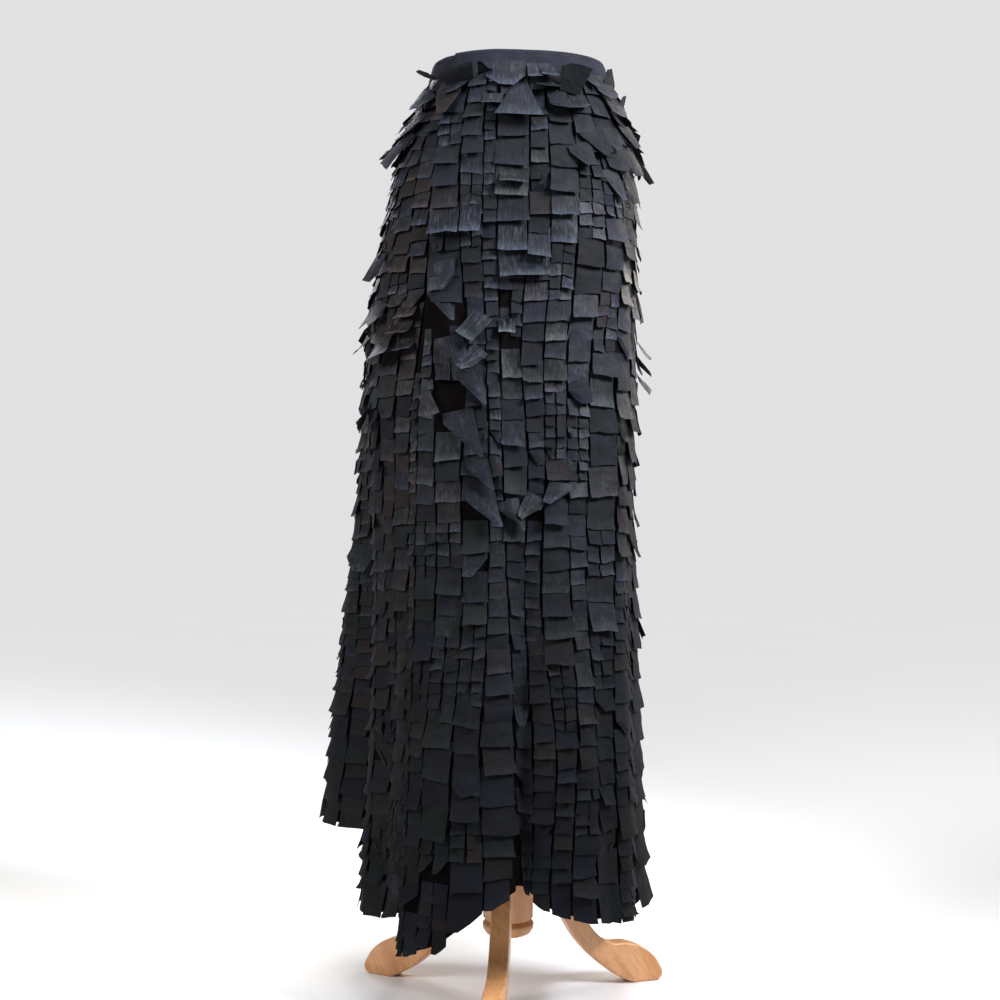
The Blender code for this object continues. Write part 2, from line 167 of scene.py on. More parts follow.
def sectionAt(height):
    key = round(height, 4)
    if key not in sizesAtHeight:
        names = Section._fields[1:]
        sizesAtHeight[key] = [smoothValue(sections, "height", name, key) for name in names]
    return sizesAtHeight[key]


def ringRadius(angle, height):
    across, along = math.sin(math.radians(angle)), math.cos(math.radians(angle))
    left, right, front, back, power = sectionAt(height)
    side = right if across >= 0 else left
    depth = front if along >= 0 else back
    return (abs(across / side) ** power + abs(along / depth) ** power) ** (-1.0 / power)


def foldDepth(angle, height):
    total = 0.0
    for fold in folds:
        away = abs(angleBetween(angle, fold.angle)) / fold.halfWidth
        if away < 1.0 and height < fold.top:
            down = (fold.top - height) / (fold.top - skirt["foldFull"])
            across = 0.5 * (1.0 + math.cos(math.pi * away))
            total += fold.depth * (down + down**2 - down**3) * across
    return total


def ringSpot(angle, radius, height):
    turn = math.radians(angle)
    return Vector((
        skirt["waistX"] + radius * math.sin(turn),
        skirt["waistY"] - radius * math.cos(turn),
        height,
    ))


def dippedHeight(angle, height):  # the waist hangs a little lower in front
    near = fade(height, skirt["dipFloor"], skirt["waistTop"] - skirt["dipFloor"])
    return height - skirt["waistDip"] * near * math.cos(math.radians(angle))


def surfaceSpot(angle, height):
    radius = ringRadius(angle, height) + foldDepth(angle, height)
    return ringSpot(angle, radius, dippedHeight(angle, height))


# The surface is read from a lattice of whole degrees, so that thousands of tabs are placed quickly.
lattice = {"step": 0.005, "low": 0.05, "reach": 0.6}
latticeSpots = {}


def latticeSpot(i, k):
    key = (i % 360, k)
    if key not in latticeSpots:
        angle, height = key[0], lattice["low"] + k * lattice["step"]
        before = surfaceSpot(angle - lattice["reach"], height)
        along = surfaceSpot(angle + lattice["reach"], height) - before
        outwards = Vector((along.y, -along.x, 0.0)).normalized()
        latticeSpots[key] = (surfaceSpot(angle, height), outwards)
    return latticeSpots[key]


def skirtPoint(angle, height, out=0.0):
    i, k = math.floor(angle), math.floor((height - lattice["low"]) / lattice["step"])
    a, h = angle - i, (height - lattice["low"]) / lattice["step"] - k
    one, two = latticeSpot(i, k), latticeSpot(i + 1, k)
    three, four = latticeSpot(i, k + 1), latticeSpot(i + 1, k + 1)
    spot = (one[0] * (1 - a) + two[0] * a) * (1 - h) + (three[0] * (1 - a) + four[0] * a) * h
    away = (one[1] * (1 - a) + two[1] * a) * (1 - h) + (three[1] * (1 - a) + four[1] * a) * h
    return spot + away * out


def radiusAt(angle, height):
    spot = skirtPoint(angle, height)
    return math.hypot(spot.x - skirt["waistX"], spot.y - skirt["waistY"])


def creaseDepth(angle, height):
    total = 0.0
    wide = math.radians(1.0) * skirt["meanRadius"]
    for crease in creases:
        runX = angleBetween(crease.angle2, crease.angle1) * wide
        runZ = crease.height2 - crease.height1
        hereX = angleBetween(angle, crease.angle1) * wide
        hereZ = height - crease.height1
        share = min(1.0, max(0.0, (hereX * runX + hereZ * runZ) / (runX**2 + runZ**2)))
        away = math.hypot(hereX - share * runX, hereZ - share * runZ) / crease.reach
        if away < 1.0:
            full = 0.35 + 0.65 * math.sin(math.pi * (0.1 + 0.8 * share))  # less at its two ends
            total += crease.depth * (1.0 - smoothStep(away)) * full
    return total


# Where the wrap's edge, the front seam and the vent run, as angles that change down the skirt.
wrap = {
    "edge": -45.0,
    "edgeSwing": -2.0,
    "seam": -10.0,
    "seamSwing": 10.0,
    "tuck": 5.0,            # how far the free edge is pulled in over the hip
    "tuckFrom": 0.66,
    "innerFrom": 0.83,      # below this a narrow column turns over the free edge
    "innerWide": (0.4, 2.8),
    "underGap": 0.9,        # between the free edge and the tabs under it
    "change": 0.17,
    "ventTop": 0.27,
    "ventHalf": 2.2,
    "ventChange": 0.12,
    "ventTabs": 1.5,        # the tabs stay this many half openings from the vent's middle
    "ventCloth": 0.04,
}


def lapLift(angle):
    gone = fade(angleBetween(angle, 0.0), skirt["lapEnd"], skirt["liftGone"] - skirt["lapEnd"])
    return skirt["lapLift"] * (1.0 - gone)


def noLift(angle):
    return 0.0


def downShare(height):
    return smoothStep((skirt["waistTop"] - height) / skirt["waistTop"])


def wrapEdge(height):
    return wrap["edge"] + wrap["edgeSwing"] * downShare(height)


def frontSeam(height):
    return wrap["seam"] + wrap["seamSwing"] * downShare(height)


def besideVent(halves):
    def line(height):
        opening = wrap["ventHalf"] * smoothStep((wrap["ventTop"] - height) / wrap["ventChange"])
        return frontSeam(height) + halves * opening
    return line


def lapEdge(height):
    return wrapEdge(height) + wrap["tuck"] * fade(height, wrap["tuckFrom"], wrap["change"])


def wrapInner(height):
    least, more = wrap["innerWide"]
    return lapEdge(height) + least + more * smoothStep((wrap["innerFrom"] - height) / wrap["change"])


# Materials.
def hexColour(text):
    parts = [int(text[k:k + 2], 16) / 255.0 for k in (0, 2, 4)]
    linear = [c / 12.92 if c <= 0.04045 else ((c + 0.055) / 1.055) ** 2.4 for c in parts]
    return (*linear, 1.0)


def setInputs(tree, node, values, links):  # a link given as a node comes from its first output
    for name, value in values.items():
        node.inputs[name].default_value = value
    for name, source in links.items():
        output = source.outputs[0] if isinstance(source, bpy.types.Node) else source
        tree.links.new(output, node.inputs[name])


def addNode(tree, kind, values={}, links={}, **settings):
    node = tree.nodes.new("ShaderNode" + kind)
    for name, value in settings.items():
        setattr(node, name, value)
    setInputs(tree, node, values, links)
    return node


def newMaterial(name):
    made = bpy.data.materials.new(name)
    made.use_nodes = True
    return made, made.node_tree, made.node_tree.nodes["Principled BSDF"]


def fillRamp(node, stops):
    ramp = node.color_ramp
    while len(ramp.elements) < len(stops):
        ramp.elements.new(0.5)
    for element, (place, colour) in zip(ramp.elements, stops):
        element.position = place
        element.color = hexColour(colour)


def rangeValues(low, high, first, last):  # for a Map Range node
    return {"From Min": low, "From Max": high, "To Min": first, "To Max": last}


# Tab ribbon: a tight blue-black weave with a thin cracked coating, with green and violet tinges and fine
# upright streaks in the weave. Its waxy grey-blue sheen on the high spots and its paler bottom edges are
# painted highlights.
ribbonLook = {
    "tones": [
        (0.0, "040507"), (0.25, "07090d"), (0.5, "080a12"),
        (0.72, "080d0c"), (0.9, "0e0a0c"), (1.0, "120e0b"),
    ],
    "toneCloud": 0.45,
    "toneLess": 0.22,
    "blooms": [  # painted sheen: paler greys mixed in on the streaks of shiny tabs, standing in for highlights
        (0.0, "353d4b"), (0.35, "373d48"), (0.6, "37403d"), (0.8, "3d3a46"), (1.0, "413a33"),
    ],
    "bloomRange": (0.5, 0.78, 0.0, 0.55),
    "edgeRange": (0.7, 1.0, 0.0, 0.8),     # painted highlight: a tab's bottom edge is painted paler where it catches the light
    "mottleSize": 0.014,
    "streakSize": 0.0021,                   # drawn coarser than the 0.4 mm threads
    "streakScale": (1.0, 0.15, 1.0),
    "crackSize": 0.012,
    "tabApart": (7.3, 3.1, 5.7),            # moves the pattern from tab to tab
    "roughRange": (0.3, 0.7, 0.7, 0.88),
    "shineRough": -0.27,
}


def ribbonMaterial():
    made, tree, shader = newMaterial("coatedRibbon")
    look = ribbonLook
    seed = addNode(tree, "Attribute", attribute_name="tabSeed").outputs["Vector"]
    down = addNode(tree, "Attribute", attribute_name="tabDown").outputs["Fac"]
    split = addNode(tree, "SeparateXYZ", {}, {"Vector": seed})
    tone, shine = split.outputs["X"], split.outputs["Y"]
    uv = addNode(tree, "UVMap", uv_map="tabUV")
    place = addNode(tree, "VectorMath", {1: look["tabApart"]}, {0: seed, 2: uv}, operation="MULTIPLY_ADD")
    mottle = addNode(tree, "TexNoise", {"Scale": 1.0 / look["mottleSize"], "Detail": 4.0, "Roughness": 0.6},
                     {"Vector": place})
    upright = addNode(tree, "Mapping", {"Scale": look["streakScale"]}, {"Vector": place})
    streak = addNode(tree, "TexNoise", {"Scale": 1.0 / look["streakSize"], "Detail": 3.0, "Roughness": 0.7},
                     {"Vector": upright})
    crack = addNode(tree, "TexNoise", {"Scale": 1.0 / look["crackSize"], "Detail": 3.0, "Distortion": 0.2},
                    {"Vector": place})
    clouded = addNode(tree, "Math", {1: look["toneCloud"]}, {0: mottle, 2: tone}, operation="MULTIPLY_ADD")
    toneAt = addNode(tree, "Math", {1: look["toneLess"]}, {0: clouded}, operation="SUBTRACT")
    tones = addNode(tree, "ValToRGB", {}, {"Fac": toneAt})
    fillRamp(tones, look["tones"])
    # painted sheen: paler grey-blue where the streaks and the tab's shine are high, standing in for
    # highlights
    paintedSheenAt = addNode(tree, "MapRange", rangeValues(*look["bloomRange"]), {"Value": streak})
    paintedSheen = addNode(tree, "Math", {}, {0: paintedSheenAt, 1: shine}, operation="MULTIPLY")
    # painted highlight: the lower part of each tab is paler, most on shiny tabs
    edgeHighlightAt = addNode(tree, "MapRange", rangeValues(*look["edgeRange"]), {"Value": down})
    edge = addNode(tree, "Math", {}, {0: edgeHighlightAt, 1: shine}, operation="MULTIPLY")
    # painted highlights: the paler bottom edge and the painted sheen, mixed over the tones
    paintedLight = addNode(tree, "Math", {}, {0: edge, 1: streak, 2: paintedSheen}, operation="MULTIPLY_ADD")
    blooms = addNode(tree, "ValToRGB", {}, {"Fac": tone})
    fillRamp(blooms, look["blooms"])
    colour = addNode(tree, "Mix", {}, {"Factor": paintedLight, "A": tones, "B": blooms}, data_type="RGBA")
    dull = addNode(tree, "MapRange", rangeValues(*look["roughRange"]), {"Value": mottle})
    rough = addNode(tree, "Math", {1: look["shineRough"]}, {0: shine, 2: dull}, operation="MULTIPLY_ADD")
    fine = addNode(tree, "Bump", {"Strength": 0.5, "Distance": 0.0004}, {"Height": streak})
    coarse = addNode(tree, "Bump", {"Strength": 0.7, "Distance": 0.0022}, {"Height": crack, "Normal": fine})
    setInputs(
        tree, shader,
        {"IOR": 1.5, "Specular IOR Level": 0.11, "Sheen Weight": 0.02, "Sheen Tint": hexColour("8f9bc4")},
        {"Base Color": colour.outputs["Result"], "Roughness": rough, "Normal": coarse},
    )
    return made


# Ground cloth and waistband: brown-black or blue-black twill, matt, with a faint diagonal rib.
twillLook = {
    # Painted shade: the ground cloth's own dark twill is made nearly black, so the gaps, hollows and vent
    # between the tabs read as shaded.
    "ground": [(0.35, "040303"), (0.95, "080606")],
    "band": [(0.35, "101115"), (0.95, "1e1f26")],
    "ribSize": 0.0016,
    "ribTurn": 35.0,
}
waveSize = 0.314  # a wave texture's own band at scale 1


def twillMaterial(name, stops):
    made, tree, shader = newMaterial(name)
    coords = addNode(tree, "TexCoord").outputs["Object"]
    turned = addNode(tree, "Mapping", {"Rotation": (0.0, math.radians(twillLook["ribTurn"]), 0.0)},
                     {"Vector": coords})
    ribScale = waveSize / twillLook["ribSize"]
    rib = addNode(tree, "TexWave", {"Scale": ribScale, "Distortion": 0.6, "Detail": 1.0},
                  {"Vector": turned}, bands_direction="Z")
    cloud = addNode(tree, "TexNoise", {"Scale": 55.0, "Detail": 6.0, "Roughness": 0.7}, {"Vector": coords})
    both = addNode(tree, "Math", {1: 0.35}, {0: rib.outputs["Fac"], 2: cloud}, operation="MULTIPLY_ADD")
    tones = addNode(tree, "ValToRGB", {}, {"Fac": both})
    fillRamp(tones, stops)
    bump = addNode(tree, "Bump", {"Strength": 0.5, "Distance": 0.0004}, {"Height": both})
    setInputs(tree, shader, {"Roughness": 0.95, "Specular IOR Level": 0.03},
              {"Base Color": tones, "Normal": bump})
    return made


# Beech: pale honey wood with short dark flecks along the grain, under a satin varnish.
beechLook = {
    "tones": [(0.55, "bd814c"), (0.72, "d39c6a"), (0.95, "bd814c")],
    "fleck": "945a30",
    "fleckRange": (0.66, 0.72, 0.0, 0.5),
    "fleckScale": (1.0, 1.0, 0.16),
    "grainScale": (1.0, 1.0, 0.07),
    "grainWidth": 0.004,
}


def beechMaterial(name, turn):
    made, tree, shader = newMaterial(name)
    look = beechLook
    coords = addNode(tree, "TexCoord").outputs["Object"]
    straight = addNode(tree, "Mapping", {"Rotation": turn}, {"Vector": coords})
    long = addNode(tree, "Mapping", {"Scale": look["grainScale"]}, {"Vector": straight})
    short = addNode(tree, "Mapping", {"Scale": look["fleckScale"]}, {"Vector": straight})
    grain = addNode(
        tree, "TexNoise",
        {"Scale": 1.0 / look["grainWidth"], "Detail": 5.0, "Roughness": 0.6, "Distortion": 0.4},
        {"Vector": long},
    )
    broad = addNode(tree, "TexNoise", {"Scale": 34.0, "Detail": 2.0}, {"Vector": long})
    flecks = addNode(tree, "TexNoise", {"Scale": 900.0, "Detail": 1.0}, {"Vector": short})
    both = addNode(tree, "Math", {1: 0.5}, {0: grain, 2: broad}, operation="MULTIPLY_ADD")
    tones = addNode(tree, "ValToRGB", {}, {"Fac": both})
    fillRamp(tones, look["tones"])
    fleckAt = addNode(tree, "MapRange", rangeValues(*look["fleckRange"]), {"Value": flecks})
    colour = addNode(tree, "Mix", {"B": hexColour(look["fleck"])}, {"Factor": fleckAt, "A": tones},
                     data_type="RGBA")
    bump = addNode(tree, "Bump", {"Strength": 0.15, "Distance": 0.0003}, {"Height": grain})
    setInputs(tree, shader, {"Roughness": 0.42, "Coat Weight": 0.35, "Coat Roughness": 0.22},
              {"Base Color": colour.outputs["Result"], "Normal": bump})
    return made


# Jersey: undyed cotton knit stretched over the form, matt, with fine upright wales.
jerseyLook = {
    "tones": [(0.3, "a79b86"), (1.0, "8d806b")],
    "waleWidth": 0.0014,
    "waleScale": (1.0, 1.0, 0.35),
}


def jerseyMaterial():
    made, tree, shader = newMaterial("naturalJersey")
    coords = addNode(tree, "TexCoord").outputs["Object"]
    wales = addNode(tree, "Mapping", {"Scale": jerseyLook["waleScale"]}, {"Vector": coords})
    knit = addNode(tree, "TexVoronoi", {"Scale": 1.0 / jerseyLook["waleWidth"]}, {"Vector": wales})
    cloud = addNode(tree, "TexNoise", {"Scale": 18.0, "Detail": 3.0}, {"Vector": coords})
    both = addNode(tree, "Math", {1: 0.5}, {0: knit, 2: cloud}, operation="MULTIPLY_ADD")
    tones = addNode(tree, "ValToRGB", {}, {"Fac": both})
    fillRamp(tones, jerseyLook["tones"])
    bump = addNode(tree, "Bump", {"Strength": 0.5, "Distance": 0.0004}, {"Height": knit}, invert=True)
    setInputs(tree, shader, {"Roughness": 0.9, "Sheen Weight": 0.2}, {"Base Color": tones, "Normal": bump})
    return made


def mottledMaterial(name, scale, detail, stops, values):
    made, tree, shader = newMaterial(name)
    coords = addNode(tree, "TexCoord").outputs["Object"]
    cloud = addNode(tree, "TexNoise", {"Scale": scale, "Detail": detail}, {"Vector": coords})
    tones = addNode(tree, "ValToRGB", {}, {"Fac": cloud})
    fillRamp(tones, stops)
    setInputs(tree, shader, values, {"Base Color": tones})
    return made


ribbon = ribbonMaterial()
groundTwill = twillMaterial("groundTwill", twillLook["ground"])
bandTwill = twillMaterial("bandTwill", twillLook["band"])
jersey = jerseyMaterial()
# Spun polyester thread: a little smoother and paler than the matt band.
thread = mottledMaterial("sewingThread", 1400.0, 1.0, [(0.3, "101116"), (0.8, "20222b")],
                         {"Roughness": 0.7, "Specular IOR Level": 0.15})
print("materials made")


# Shared mesh steps.
def finishMesh(bm, name, material, sharpDegrees=40.0):
    data = bpy.data.meshes.new(name)
    bm.to_mesh(data)
    bm.free()
    data.shade_smooth()
    data.set_sharp_from_angle(angle=math.radians(sharpDegrees))
    data.materials.append(material)
    return placeObject(name, data)


def placeObject(name, data):
    made = bpy.data.objects.new(name, data)
    bpy.context.scene.collection.objects.link(made)
    return made


def thicken(piece, thickness, offset):
    wall = piece.modifiers.new("thickness", "SOLIDIFY")
    wall.thickness = thickness
    wall.offset = offset


def mapGrid(bm, spotOf):  # a unit grid's points go where spotOf(across, up) says, both 0 to 1
    for vert in bm.verts:
        vert.co = spotOf(vert.co.x + 0.5, vert.co.y + 0.5)


def replaceNode(piece, node):
    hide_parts(node)
    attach(piece, "root")


# Camera and light.
view = {
    "place": (skirt["waistX"] - 0.0167, skirt["waistY"] - 1.8, 0.56),
    "lens": 54.43,
    "shiftY": 0.023,
}
Lamp = namedtuple("Lamp", "place aim size power colour spread")
lamps = {
    "key": Lamp((1.5, -1.02, 1.95), 1.02, 0.8, 21.0, "f2f5ff", 50.0),
    "fill": Lamp((-1.7, -1.1, 1.6), 0.95, 1.0, 9.5, "f9f7fa", 56.0),
    "back": Lamp((-0.9, 1.9, 1.9), 0.8, 1.0, 3.5, "f4f6ff", 56.0),
    "rim": Lamp((1.5, 1.3, 1.8), 0.95, 1.0, 7.0, "fff3e6", 60.0),
}
room = {
    "light": 0.08,
    "paper": 0.755,         # the paper seen behind the skirt is paler than what lights it
    "ceiling": 2.42,        # soft light from overhead, which keeps the floor pale
    "ceilingFrom": (0.1, -0.15, 1.5),
    "ceilingSpread": 40.0,
    "floorSize": 20.0,
}


def makeCamera():
    data = bpy.data.cameras.new("camera")
    data.lens = view["lens"]
    data.sensor_width = 36.0
    data.shift_y = view["shiftY"]
    made = placeObject("camera", data)
    made.location = view["place"]
    made.rotation_euler = (math.radians(90.0), 0.0, 0.0)
    bpy.context.scene.camera = made


def makeLights():
    for name, lamp in lamps.items():
        data = bpy.data.lights.new(name, "AREA")
        data.size = lamp.size
        data.energy = lamp.power
        data.color = hexColour(lamp.colour)[:3]
        data.spread = math.radians(lamp.spread)
        made = placeObject(name, data)
        made.location = lamp.place
        aim = Vector((skirt["waistX"], skirt["waistY"], lamp.aim)) - Vector(lamp.place)
        made.rotation_euler = aim.to_track_quat("-Z", "Y").to_euler()
    data = bpy.data.lights.new("ceiling", "SUN")
    data.energy = room["ceiling"]
    data.angle = math.radians(room["ceilingSpread"])
    made = placeObject("ceiling", data)
    made.rotation_euler = Vector(room["ceilingFrom"]).to_track_quat("Z", "Y").to_euler()


def makeRoom():
    world = bpy.data.worlds.new("paleRoom")
    world.use_nodes = True
    tree = world.node_tree
    white = hexColour("ffffff")
    light = tree.nodes["Background"]
    setInputs(tree, light, {"Color": white, "Strength": room["light"]}, {})
    paper = addNode(tree, "Background", {"Color": white, "Strength": room["paper"]})
    seen = addNode(tree, "LightPath").outputs["Is Camera Ray"]
    both = addNode(tree, "MixShader", {}, {"Fac": seen, 1: light, 2: paper})
    setInputs(tree, tree.nodes["World Output"], {}, {"Surface": both})
    bpy.context.scene.world = world
    bpy.context.scene.view_settings.view_transform = "Standard"
    bm = bmesh.new()
    bmesh.ops.create_grid(bm, x_segments=1, y_segments=1, size=room["floorSize"])
    pale = mottledMaterial("paleFloor", 1.3, 2.0, [(0.2, "f8f8f7"), (0.8, "fafafa")], {"Roughness": 0.9})
    finishMesh(bm, "floor", pale)


makeCamera()
makeLights()
makeRoom()
print("camera, lights and floor made")


# Ground cloth.
groundCloth = {
    "out": 0.0014,
    "thickness": 0.0012,
    "degreesPerStep": 1.5,
    "heightStep": 0.01,
    "hemLift": 0.004,
    "hemMean": 0.15,
    "hemAngles": 0.2,       # heights at which the panel's edges are read for its hem and its width
    "wideAngles": 0.6,
    "measuredAt": (0.95, 0.6, 0.2),
}


def hemHeight(hem, angle):
    return smoothValue(hem, "angle", "height", angle)


def makeGround(name, start, end, hem, lift):
    bm = bmesh.new()
    widest, lowest = groundCloth["wideAngles"], groundCloth["hemAngles"]
    bmesh.ops.create_grid(
        bm,
        x_segments=round((end(widest) - start(widest)) / groundCloth["degreesPerStep"]),
        y_segments=round((panelTop - groundCloth["hemMean"]) / groundCloth["heightStep"]),
        size=0.5,
    )

    def spotOf(across, up):
        below = start(lowest) + (end(lowest) - start(lowest)) * across
        low = hemHeight(hem, below) + groundCloth["hemLift"]
        height = low + (panelTop - low) * up
        angle = start(height) + (end(height) - start(height)) * across
        return skirtPoint(angle, height, lift(angle) + groundCloth["out"] + creaseDepth(angle, height))

    mapGrid(bm, spotOf)
    area = sum(face.calc_area() for face in bm.faces)
    piece = finishMesh(bm, name, groundTwill, 60.0)
    thicken(piece, groundCloth["thickness"], 0.0)
    return piece, area


# Tabs.
tabSizes = {
    "thickness": 0.0006,
    "root": 0.003,          # a tab's sewn top, from the skirt's surface
    "overlap": 0.007,        # how far it starts above the row's line, under the tab above
    "gap": 0.0012,           # between columns
    "topGap": 0.002,
    "hemLeft": 0.002,
    "pitch": (0.78, 1.08),   # a tab's shown length, as a share of its width
    "leastPitch": 0.0115,
    "mostPitch": 0.036,
    "hipPitch": 0.026,       # the most from here up
    "hipFrom": 1.0,
    "foldShown": 0.0045,     # how much of a turned corner shows as a pale rim
    "foldThick": 0.0018,
    "splitFrom": 0.024,      # a wider column may split in two for a few rows
    "splitChance": 0.1,
    "splitRows": (3, 7),
    "leastWidth": 0.006,
    "narrowStep": 0.01,
    "gapTilt": -0.7,         # a tab over the slanting gap
    "gapRise": 14.0,
}
# How a tab's cloth is uneven: each noise's fineness and its shift from tab to tab, then how far it goes.
uneven = {
    "rumpleNoise": (55.0, 9.7, 0.0),
    "rumpleOut": 0.0016,
    "rumpleRoot": 0.25,
    "rumpleAcross": 0.0012,
    "waverNoise": (90.0, 3.1, 5.0),
    "waverDown": 0.0022,
    "hookFrom": 0.72,
}
# What a sewn tab is drawn from, and what is added among the flaps or where it is strongly bent.
tabChances = {
    "width": (0.93, 1.0),
    "rise": (4.0, 11.0),
    "flapRise": (0.0, 12.0),
    "curve": (-6.0, 9.0),
    "wildCurve": (-22.0, 24.0),
    "turn": 1.6,
    "flapTurn": 8.0,
    "tilt": 0.0022,
    "lean": 0.0028,
    "hook": (-0.0012, 0.002),
    "taper": 0.08,
    "fold": (0.25, 0.6),
    "foldChance": (0.045, 0.2),
    "wildChance": (0.1, 0.4),
    "flapAside": (50.0, 20.0),     # loose flaps are on the hip's sides, and in front only by the band
    "flapFrom": (0.93, 0.08),
    "frontFlapFrom": (1.035, 0.03),
    "frontFlaps": 0.5,
    "brownBefore": -43.5,    # the underlap's side is browner
    "brownChance": 0.6,
    "brownTone": (0.72, 1.0),
    "tone": 0.85,
    "toneFrom": (0.2, 0.3),
    # Painted shade: less sheen lower down, so the painted sheen fades towards the hem.
    "leastSheen": 0.2,
    "sheenFrom": (0.25, 0.5),
}
# Painted shade: the right of the hip turns from the light and lies under the flaps, so its tabs are given
# darker tones and less painted sheen.
hipShadePaint = {"first": 22.0, "last": 85.0, "low": 0.94, "sheen": 0.2, "tone": 0.3}

Tab = namedtuple("Tab", "width length rise curve turn tilt lean hook taper point fold tone shine seed")
tiny = {"bend": 1e-4, "length": 1e-6}


def bendAlong(length, rise, curve, share):  # how far down and out an evenly bent strip has come
    first = math.radians(rise)
    change = math.radians(curve)
    if abs(change) < tiny["bend"]:
        return length * share * math.cos(first), length * share * math.sin(first)
    here = first + change * share
    down = length / change * (math.sin(here) - math.sin(first))
    return down, -length / change * (math.cos(here) - math.cos(first))


def foldCorner(bm, tab, side):  # a bottom corner turned under, with a rim of it shown in front
    across = tab.width * abs(tab.fold)
    up = tab.length * min(0.8, abs(tab.fold) * 1.1)
    corner = Vector((side * (tab.width / 2 - across), -tab.length, 0.0))
    edge = Vector((side * tab.width / 2, -tab.length + up, 0.0))
    away = Vector((-(edge - corner).y, (edge - corner).x, 0.0)).normalized()
    if away.x * side < 0:
        away = -away
    for shown, cut in ((0.0, False), (tabSizes["foldShown"], True)):
        bmesh.ops.bisect_plane(bm, geom=bm.verts[:] + bm.edges[:] + bm.faces[:],
                               plane_co=corner + away * shown, plane_no=away, clear_outer=cut)
    for vert in bm.verts:
        past = (vert.co - corner).dot(away)
        if past > tiny["length"]:
            vert.co -= away * (2.0 * past)
            vert.co.z += min(tabSizes["foldThick"], past)


def tabShape(tab):  # one tab, lying flat with its sewn top at y 0, then bent: x across, y up, z out
    bm = bmesh.new()
    seedLayer = bm.verts.layers.float_vector.new("tabSeed")
    downLayer = bm.verts.layers.float.new("tabDown")
    uvLayer = bm.loops.layers.uv.new("tabUV")
    bmesh.ops.create_grid(bm, x_segments=3, y_segments=5, size=0.5)
    for vert in bm.verts:
        across, down = vert.co.x, 0.5 - vert.co.y
        vert[downLayer] = down
        vert.co.x = across * tab.width * (1.0 + tab.taper * (down - 0.5))
        vert.co.y = -down * (tab.length * (1.0 - 2.0 * tab.point * abs(across)) + tab.tilt * across)
    for face in bm.faces:
        for loop in face.loops:
            loop[uvLayer].uv = loop.vert.co.xy
    if tab.fold:
        foldCorner(bm, tab, 1 if tab.fold > 0 else -1)
    for vert in bm.verts:
        vert[seedLayer] = (tab.tone, tab.shine, tab.seed % 1.0)
        share = min(1.1, -vert.co.y / tab.length)
        down, out = bendAlong(tab.length, tab.rise, tab.curve, share)
        across = vert.co.x / tab.width
        rumple, waver = (
            noise.noise(Vector((*(vert.co.xy * fine), tab.seed * shift + start)))
            for fine, shift, start in (uneven["rumpleNoise"], uneven["waverNoise"])
        )
        down -= uneven["waverDown"] * waver * share
        out += tab.lean * across * share + rumple * uneven["rumpleOut"] * (uneven["rumpleRoot"] + share)
        out += tab.hook * max(0.0, (share - uneven["hookFrom"]) / (1.0 - uneven["hookFrom"])) ** 2
        vert.co = Vector((vert.co.x + uneven["rumpleAcross"] * rumple * share, -down, vert.co.z + out))
    bmesh.ops.solidify(bm, geom=bm.faces[:], thickness=tabSizes["thickness"])
    bmesh.ops.recalc_face_normals(bm, faces=bm.faces[:])
    return bm


scratchMesh = bpy.data.meshes.new("oneTab")


def placeTab(target, tab, middle, height, lift, root):
    bm = tabShape(tab)
    cosine, sine = math.cos(math.radians(tab.turn)), math.sin(math.radians(tab.turn))
    perRadian = radiusAt(middle(height), height)
    for vert in bm.verts:
        across = vert.co.x * cosine - vert.co.y * sine
        up = vert.co.x * sine + vert.co.y * cosine
        here = height + up
        angle = middle(here) + math.degrees(across / perRadian)
        out = vert.co.z + root + lift(angle) + creaseDepth(angle, here)
        vert.co = skirtPoint(angle, here, max(out, root))
    bm.to_mesh(scratchMesh)
    bm.free()
    target.from_mesh(scratchMesh)


def pickTab(chance, width, length, height, angle):
    drawn = tabChances
    aside = angleBetween(angle, 0.0)
    sides = fade(abs(aside), *drawn["flapAside"]) * fade(height, *drawn["flapFrom"])
    lifted = max(sides, drawn["frontFlaps"] * fade(height, *drawn["frontFlapFrom"]))
    wild = chance.random() < drawn["wildChance"][0] + drawn["wildChance"][1] * lifted
    brown = aside < drawn["brownBefore"] and chance.random() < drawn["brownChance"]
    most = drawn["tone"] + (1.0 - drawn["tone"]) * (1.0 - fade(height, *drawn["toneFrom"]))
    tone = chance.uniform(*drawn["brownTone"]) if brown else chance.uniform(0.0, most)
    # painted shade: less sheen towards the hem, so the painted sheen fades lower down
    sheen = drawn["leastSheen"] + (1.0 - drawn["leastSheen"]) * fade(height, *drawn["sheenFrom"])
    # painted shade on the right of the hip: darker tones and less sheen
    if hipShadePaint["first"] < aside < hipShadePaint["last"] and height > hipShadePaint["low"]:
        sheen, tone = hipShadePaint["sheen"], hipShadePaint["tone"] * tone

    def either(far):
        return chance.uniform(-far, far)

    wide = width * chance.uniform(*drawn["width"]) - tabSizes["gap"]
    rise = chance.uniform(*drawn["rise"]) + lifted * chance.uniform(*drawn["flapRise"])
    curve = chance.uniform(*drawn["curve"]) + (chance.uniform(*drawn["wildCurve"]) if wild else 0.0)
    turn = chance.gauss(0.0, drawn["turn"]) + lifted * chance.gauss(0.0, drawn["flapTurn"])
    tilt = either(drawn["tilt"]) * (1.8 if wild else 1.0)
    lean = either(drawn["lean"]) * (1.0 + 2.0 * lifted)
    hook = chance.uniform(*drawn["hook"]) * (2.0 if wild else 1.0)
    taper = either(drawn["taper"])
    fold = 0.0
    if chance.random() < drawn["foldChance"][0] + drawn["foldChance"][1] * lifted:
        fold = chance.choice((-1, 1)) * chance.uniform(*drawn["fold"])
    shine = sheen * chance.random() ** 1.5
    seed = chance.uniform(0.0, 50.0)
    return Tab(wide, length, rise, curve, turn, tilt, lean, hook, taper, 0.0, fold, tone, shine, seed)


